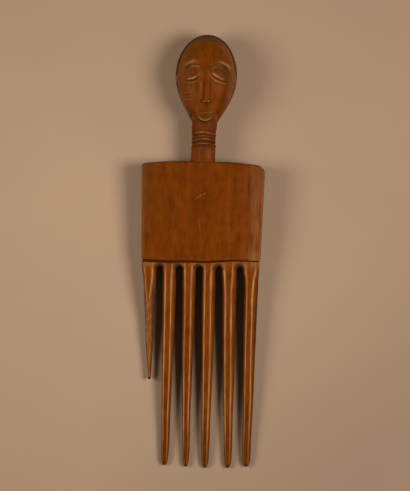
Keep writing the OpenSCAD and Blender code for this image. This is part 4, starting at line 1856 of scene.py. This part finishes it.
@dataclass
class Tooth:
    """One long eight-sided tooth, thinned from its root to a rounded tip."""

    sizes: CombSizes
    index: int
    own: Whittling
    length: float
    tip_w: float
    finish: Finish = Finish.WORN
    tip_t: float = 3.8
    rows: int = 170
    tip_rows: int = 24
    rounded_share: float = 0.045
    front_w: float = 3.3
    edge_turn: float = math.radians(24)
    bend: float = 0.192
    cut_depth: float = 0.09
    stations: tuple[float, ...] = (0, 0.04, 0.2, 0.37, 0.54, 0.71, 0.88, 1)
    tapers: tuple[float, ...] = (0, 0.1, 0.22, 0.38, 0.58, 0.78, 0.94, 1)
    rubbing: Rubbing = Rubbing(5, 0.12, 0.9)

    def along(self) -> Array:
        """Space the loops, closer together at the root and the tip.

        Returns:
            Their shares of the length.
        """
        even = np.linspace(0, 1, self.rows)
        tip = 1.0 - (1.0 - np.sin(np.linspace(0, np.pi / 2, self.tip_rows))) * self.rounded_share
        root = 0.03 * np.linspace(0, 1, 8)
        return np.unique(np.concatenate([even[even < 1.0 - self.rounded_share], root, tip]))

    def middle(self, along: Array) -> Array:
        """Place of the middle of the tooth across the comb."""
        root = sum(self.sizes.root_span(self.index)) / 2
        return mix(root, self.own.tip_share * self.sizes.rail_w / 2, along)

    def width(self, along: Array) -> Array:
        """Find the width of the tooth before its tip is rounded.

        Args:
            along: shares of the length.

        Returns:
            The width at each of them.
        """
        left, right = self.sizes.root_span(self.index)
        shares = [0.0, *(mix(share, 1.0, self.own.slimmer) for share in self.tapers[1:])]
        return mix(right - left, self.tip_w, np.interp(along, self.stations, shares))

    def sizes_at(self, along: Array) -> dict[str, Array]:
        """Find the sizes of the section.

        Args:
            along: shares of the length.

        Returns:
            The width and the depth in front and behind at each of them.
        """
        tip = np.clip((along - (1.0 - self.rounded_share)) / self.rounded_share, 0.0, 1.0)
        rounding = np.sqrt(np.clip(1.0 - tip**2 * 0.96, 0.0, 1.0))
        half = mix(self.sizes.rail_t, self.tip_t, along) * mix(1.0, rounding, 0.7) / 2
        return {"wide": self.width(along) * rounding, "front": half, "back": half}

    def front_at(self, along: Array, wide: Array) -> Array:
        """Width of the flat front at each share of the length."""
        worked = np.clip((wide - self.front_w) / 2, 0.22 * wide, 0.36 * wide)
        return wide - 2.0 * mix(self.sizes.gap_bevel, worked, smooth(along / 0.14))

    def with_edges(self, along: Array) -> dict[str, Array]:
        """Add the worked edges to the sizes of the section.

        Args:
            along: shares of the length.

        Returns:
            The sizes with the reach across and in depth of each worked edge, and how much wider
            or narrower each side was left.
        """
        at = self.sizes_at(along)
        at["across"] = (at["wide"] - self.front_at(along, at["wide"])) / 2
        full = np.minimum(1.25 * at["across"], 0.8 * (at["front"] + at["back"]) / 2)
        at["deep"] = mix(self.sizes.gap_bevel, full, smooth(along / 0.05))
        fuller = smooth(along / 0.08) * (1.0 - ramp(along, 0.9, 0.1))
        for name, share in zip(("left", "right"), self.own.side_shares):
            at[name] = mix(1.0, share, fuller)
        return {name: values[:, None] for name, values in at.items()}

    def quarter(self, at: dict[str, Array], side: int) -> tuple[Array, Array, Array]:
        """Draw half of the front of the section: flat, then a firm edge, then round to the side.

        Args:
            at: the sizes of the tooth at each share of its length.
            side: 1 for the right half, -1 for the left one, whose worked edge is narrower.

        Returns:
            The place across, the fall from the front and the distance from the edge, for each
            point. The distance is negative on the flat front.
        """
        flat = np.linspace(0.0, 1.0, 7)[:-1]
        turn = np.linspace(self.edge_turn, np.pi / 2, 9)
        side_x = (np.sin(turn) - np.sin(self.edge_turn)) / (1 - np.sin(self.edge_turn))
        side_z = (np.cos(self.edge_turn) - np.cos(turn)) / np.cos(self.edge_turn)
        across = at["across"] * (1.0 + side * self.sizes.flank_share)
        front = at["wide"] / 2 - across
        x = np.hstack([front * flat, front + across * side_x]) * at["right" if side > 0 else "left"]
        fall = np.hstack([np.zeros_like(front * flat), at["deep"] * side_z])
        edge = np.hstack([-front * (1.0 - flat), np.hypot(across * side_x, at["deep"] * side_z)])
        return side * x, fall, edge

    def loops(self) -> tuple[Array, Array, Array]:
        """Build the loops of the tooth.

        Returns:
            The points as rows by around by 3, the share of the length of each row, and the
            distance of each point from the nearest edge of its front or its back.
        """
        along = self.along()
        at = self.with_edges(along)
        rings = []
        for side in (1, -1):
            x, fall, edge = self.quarter(at, side)
            half = [
                np.hstack([x, x[:, ::-1]]),
                np.hstack([at["front"] - fall, (fall - at["back"])[:, ::-1]]),
                np.hstack([edge, edge[:, ::-1]]),
            ]
            rings.append(half if side > 0 else [part[:, ::-1][:, 1:-1] for part in half])
        ring_x, ring_z, ring_edge = (np.hstack([right, left]) for right, left in zip(*rings))
        along = along[:, None]
        y = np.broadcast_to(-self.sizes.rail_h - along * self.length, ring_x.shape)
        points = np.stack([ring_x + self.middle(along), y, ring_z], axis=-1)
        hold = smooth(along / 0.05)
        course = np.stack([along * 4.1, along * 0, along * 0], axis=-1)
        sway = self.bend * noise(course, (1, 1, 1), 40 + self.index)
        points[..., 0] += sway * hold * (1.0 - ramp(along, 0.9, 0.1))
        cuts = np.abs(self.cut_depth * noise(points, (2.6, 11.0, 2.6), 50 + self.index) * hold)
        points[..., 0] -= np.sign(ring_x) * cuts
        points[..., 2] -= np.sign(ring_z) * cuts
        return points, along, ring_edge

    def across_shares(self, points: Array) -> Array:
        """Return the place of each point across its loop, as a share of the loop's width."""
        x = points[..., 0]
        return (x - x.mean(axis=1, keepdims=True)) / np.ptp(x, axis=1, keepdims=True)

    def traits(self, points: Array, along: Array, edge: Array) -> dict[str, Array]:
        """Paint the pale lines along the edges of the front, and the dark sides.

        Args:
            points: the loops of the tooth.
            along: the share of the length of each loop.
            edge: the distance of each point from the nearest edge.

        Returns:
            The wear and the dirt of each point.
        """
        front = points[..., 2] > 0
        patchy = noise(points, (2.0, 14.0, 9.0), 80 + self.index)
        ends = 1.0 - 0.75 * ramp(along, 0.72, 0.25)
        strong = np.where(self.across_shares(points) < 0, *self.own.line_strengths)
        reach = 0.55 + 0.3 * (1.0 - smooth(along / 0.2))
        wear = bump(edge / reach, 1.0) * (0.72 + 0.35 * patchy) * ends * front * strong
        fall = points[..., 2].max(axis=1, keepdims=True) - points[..., 2]
        lower = 0.4 * ramp(along, 0.55, 0.4) * (edge < 0)
        tip = 0.75 * ramp(along, 0.975, 0.02)
        dirt = np.maximum(0.95 * smooth(fall / 2.8), np.maximum(lower, tip))
        return {"wear": wear * (1.0 - tip), "dirt": dirt}

    def closed(self, points: Array, traits: dict[str, Array]) -> Shape:
        """Close the loops into a tooth whose marks start a little below its root."""
        return loft(points, traits).sheltered(-self.sizes.rail_h, reach=2.0)

    def shape(self) -> Shape:
        """Build the closed tooth."""
        points, along, edge = self.loops()
        return self.closed(points, self.traits(points, along, edge))

    def build(self, shop: Workshop) -> None:
        """Make the tooth."""
        name = f"tooth_{self.index + 1}"
        shop.piece(f"whittled_{name}", name, self.shape(), self.finish, self.rubbing)


@dataclass
class BrokenTooth(Tooth):
    """The outer tooth that split away along the grain and left a thin sliver."""

    finish: Finish = Finish.SPLIT
    stations: tuple[float, ...] = (0, 0.06, 0.2, 0.34, 0.42, 0.66, 0.92, 1)
    tapers: tuple[float, ...] = (0, 0.08, 0.19, 0.32, 0.4, 0.56, 0.92, 1)
    front_shares: tuple[float, ...] = (1, 1, 0.94, 0.8, 0.45, 0.25, 0.12, 0.06)
    point_share: float = 0.35
    end_share: float = 0.015

    def sizes_at(self, along: Array) -> dict[str, Array]:
        """Find the sizes of the section, with the front half split away below the break.

        Args:
            along: shares of the length.

        Returns:
            The width and the depth in front and behind at each of them.
        """
        near_end = np.clip((along - (1.0 - self.end_share)) / self.end_share, 0, 1)
        end = np.sqrt(np.clip(1.0 - near_end**2 * 0.9, 0, 1))
        back = mix(self.sizes.rail_t, self.tip_t, along * self.own.length_share) / 2 * end
        front = back * np.interp(along, self.stations, self.front_shares)
        return {"wide": self.width(along) * end, "front": front, "back": back}

    def front_at(self, along: Array, wide: Array) -> Array:
        """Width of what is left of the flat front, which the break brings to a point."""
        root = wide[0] - 2.0 * self.sizes.gap_bevel
        return root * np.clip(1.0 - np.clip(along / self.point_share, 0, 1) ** 1.5, 0.012, 1.0)

    def shape(self) -> Shape:
        """Build the closed tooth.

        Returns:
            The tooth, its break paler and rough.
        """
        points, along, edge = self.loops()
        broken = smooth(edge / 0.3 + 0.3) * ramp(along, 0.04, 0.16) * (points[..., 2] > 0)
        fibre = noise(points, (0.7, 9.0, 0.9), 70)
        points[..., 2] += 0.14 * fibre * broken
        painted = self.traits(points, along, edge)
        painted["wear"] *= 1.0 - ramp(along, self.point_share - 0.01, 0.03)
        painted["wear"] += 0.25 * broken * np.clip(fibre, 0, 1)
        painted["dirt"] = painted["dirt"] * (1.0 - 0.5 * broken) + 0.6 * ramp(along, 0.96, 0.03)
        painted["bare"] = broken * (0.8 + 0.2 * fibre)
        right = 0.6 * ramp(self.across_shares(points), 0.12, 0.25)
        painted["shade"] = (right + 0.3 * np.clip(-fibre, 0, 1)) * broken
        return self.closed(points, painted)


@dataclass
class Teeth:
    """The six teeth, the first of them broken short."""

    sizes: CombSizes
    length: float = 120.2
    tip_w: float = 4.1
    stub_w: float = 1.8
    whittlings: tuple[Whittling, ...] = (
        Whittling(-0.833, 0.56, 1, (0.9, 1.05), (0.9, 0.9)),
        Whittling(-0.535, 0.991, 1, (1.04, 1.2), (1.0, 1.0)),
        Whittling(-0.172, 0.996, 0.92, (1.08, 1.1), (0.95, 0.85)),
        Whittling(0.158, 1, 1, (1.08, 1.22), (0.9, 1.1)),
        Whittling(0.549, 0.997, 1.04, (1.04, 1.16), (1.0, 0.95)),
        Whittling(0.861, 0.989, 1.2, (0.98, 1.1), (0.75, 1.2), slimmer=0.22),
    )

    def build(self, shop: Workshop) -> None:
        """Make every tooth.

        Args:
            shop: makes the objects.
        """
        for index, own in enumerate(self.whittlings):
            kind, tip_w = (Tooth, self.tip_w) if index else (BrokenTooth, self.stub_w)
            long, wide = self.length * own.length_share, tip_w * own.width_share
            kind(self.sizes, index, own, long, wide).build(shop)


# Studio


@dataclass(frozen=True)
class Lamp:
    """One soft white lamp, placed by its direction from the comb."""

    name: str
    azimuth_deg: float
    height_deg: float
    size: float
    power: float
    distance: float = 1.0

    def build(self) -> None:
        """Add the lamp, aimed at the comb."""
        data = bpy.data.lights.new(self.name, "AREA")
        data.shape = "DISK"
        data.size = self.size
        data.energy = self.power
        made = new_object(self.name, data)
        turn, rise = math.radians(self.azimuth_deg), math.radians(self.height_deg)
        level = math.cos(rise)
        away = Vector((math.cos(turn) * level, math.sin(turn) * level, math.sin(rise)))
        made.location = away * self.distance
        made.rotation_euler = away.to_track_quat("Z", "Y").to_euler()


@dataclass
class Studio:
    """Pale floor, two soft lamps from the sides and a camera straight above."""

    floor_colour: str = "#AE9075"
    floor_reach: float = 3.0
    painted_light_middle: tuple[float, float, float] = (-0.05, 0.01, 0.0)
    painted_shade_corner: tuple[float, float, float] = (0.7, -0.7, 0.0)
    world_strength: float = 0.1
    world_colour: str = "#FFE0C0"
    image_h_px: int = 491
    mm_per_px: float = 0.6
    camera_mm: float = 1600.0
    plate_level_mm: float = 16.0
    aim_x_mm: float = 2.2
    aim_along_mm: float = 9.3
    roll_deg: float = 1.5
    lamps: tuple[Lamp, ...] = (
        Lamp("right_lamp", 2.0, 53.0, 0.46, 7.6),
        Lamp("left_lamp", 178.0, 41.0, 0.5, 6.05),
    )

    def paper(self) -> bpy.types.Material:
        """Build the floor's material, mottled, with painted light round the comb and painted shade
        to one corner.

        Returns:
            The material.
        """
        # A plain pale tan with no gleam.
        made = bpy.data.materials.new("matt paper, laid flat")
        tree = fresh_tree(made)
        add = functools.partial(add_node, tree)
        place = add("ShaderNodeTexCoord").outputs["Object"]
        speckle = {"Vector": place, "Scale": 9.0, "Detail": 6.0, "Roughness": 0.6}
        mottle = add("ShaderNodeTexNoise", speckle)
        away, to_corner = (
            add("ShaderNodeVectorMath", {0: place, 1: vector}, operation=kind)
            for vector, kind in ((self.painted_light_middle, "DISTANCE"), (self.painted_shade_corner, "DOT_PRODUCT"))
        )
        tone: object = from_hex(self.floor_colour)[:3]
        # Painted light: brighter round the comb and dimmer away from it and towards one corner.
        for source, low, high, at_low, at_high in (
            (mottle.outputs["Fac"], 0.3, 0.7, 0.97, 1.03),
            (away.outputs["Value"], 0.04, 0.2, 1.03, 0.87),
            (to_corner.outputs["Value"], 0.06, 0.17, 1.0, 0.85),
        ):
            ends = {"From Min": low, "From Max": high, "To Min": at_low, "To Max": at_high}
            level = add("ShaderNodeMapRange", {"Value": source, **ends})
            tone = add("ShaderNodeVectorMath", {0: tone, "Scale": level}, operation="SCALE")
        surface = {"Base Color": tone, "Roughness": 0.95, "Specular IOR Level": 0.1}
        add("ShaderNodeOutputMaterial", {"Surface": add("ShaderNodeBsdfPrincipled", surface)})
        return made

    def build_floor(self) -> None:
        """Add the plain pale floor."""
        mesh = bpy.data.meshes.new("floor")
        reach = self.floor_reach
        corners = [(-reach, -reach, 0), (reach, -reach, 0), (reach, reach, 0), (-reach, reach, 0)]
        mesh.from_pydata(corners, [], [(0, 1, 2, 3)])
        mesh.materials.append(self.paper())
        floor = new_object("floor", mesh)

    def build_world(self) -> None:
        """Set the dim fill light, with a pale tone where the camera looks past the floor."""
        world = bpy.data.worlds.new("studio")
        tree = fresh_tree(world)
        backs = ((self.world_colour, self.world_strength), (self.floor_colour, 1.0))
        fill, seen = (
            add_node(tree, "ShaderNodeBackground", {"Color": from_hex(code), "Strength": strength})
            for code, strength in backs
        )
        to_camera = add_node(tree, "ShaderNodeLightPath").outputs["Is Camera Ray"]
        both = add_node(tree, "ShaderNodeMixShader", {0: to_camera, 1: fill, 2: seen})
        add_node(tree, "ShaderNodeOutputWorld", {"Surface": both})
        bpy.context.scene.world = world

    def build_camera(self, pose: LyingPose) -> None:
        """Set the camera straight above, framed as the photograph is.

        Args:
            pose: the comb's own pose, in which the camera's aim is given.
        """
        data = bpy.data.cameras.new("camera")
        reach = self.camera_mm - self.plate_level_mm
        data.lens = data.sensor_width * reach / (self.image_h_px * self.mm_per_px)
        data.clip_end = 20.0
        made = new_object("camera", data)
        aim = pose.lay(np.array([[self.aim_x_mm, self.aim_along_mm, 0.0]]))[0]
        made.location = Vector((aim[0], aim[1], self.camera_mm * MM))
        made.rotation_euler = (0.0, 0.0, math.radians(self.roll_deg))
        bpy.context.scene.camera = made

    def build(self, pose: LyingPose) -> None:
        """Make the whole studio.

        Args:
            pose: the comb's own pose.
        """
        self.build_floor()
        self.build_world()
        self.build_camera(pose)
        for lamp in self.lamps:
            lamp.build()
        bpy.context.scene.view_settings.view_transform = "Standard"


def main() -> None:
    """Build the comb, section by section, then the studio round it."""
    logging.basicConfig(level=logging.INFO, format="%(name)s: %(message)s")
    sizes = CombSizes()
    shop = Workshop(LyingPose.from_frame(sizes))
    for section in (Head(sizes), Neck(sizes), Plate(sizes), ToothRail(sizes), Teeth(sizes)):
        section.build(shop)
    Studio().build(shop.pose)


if __name__ == "__main__":
    main()
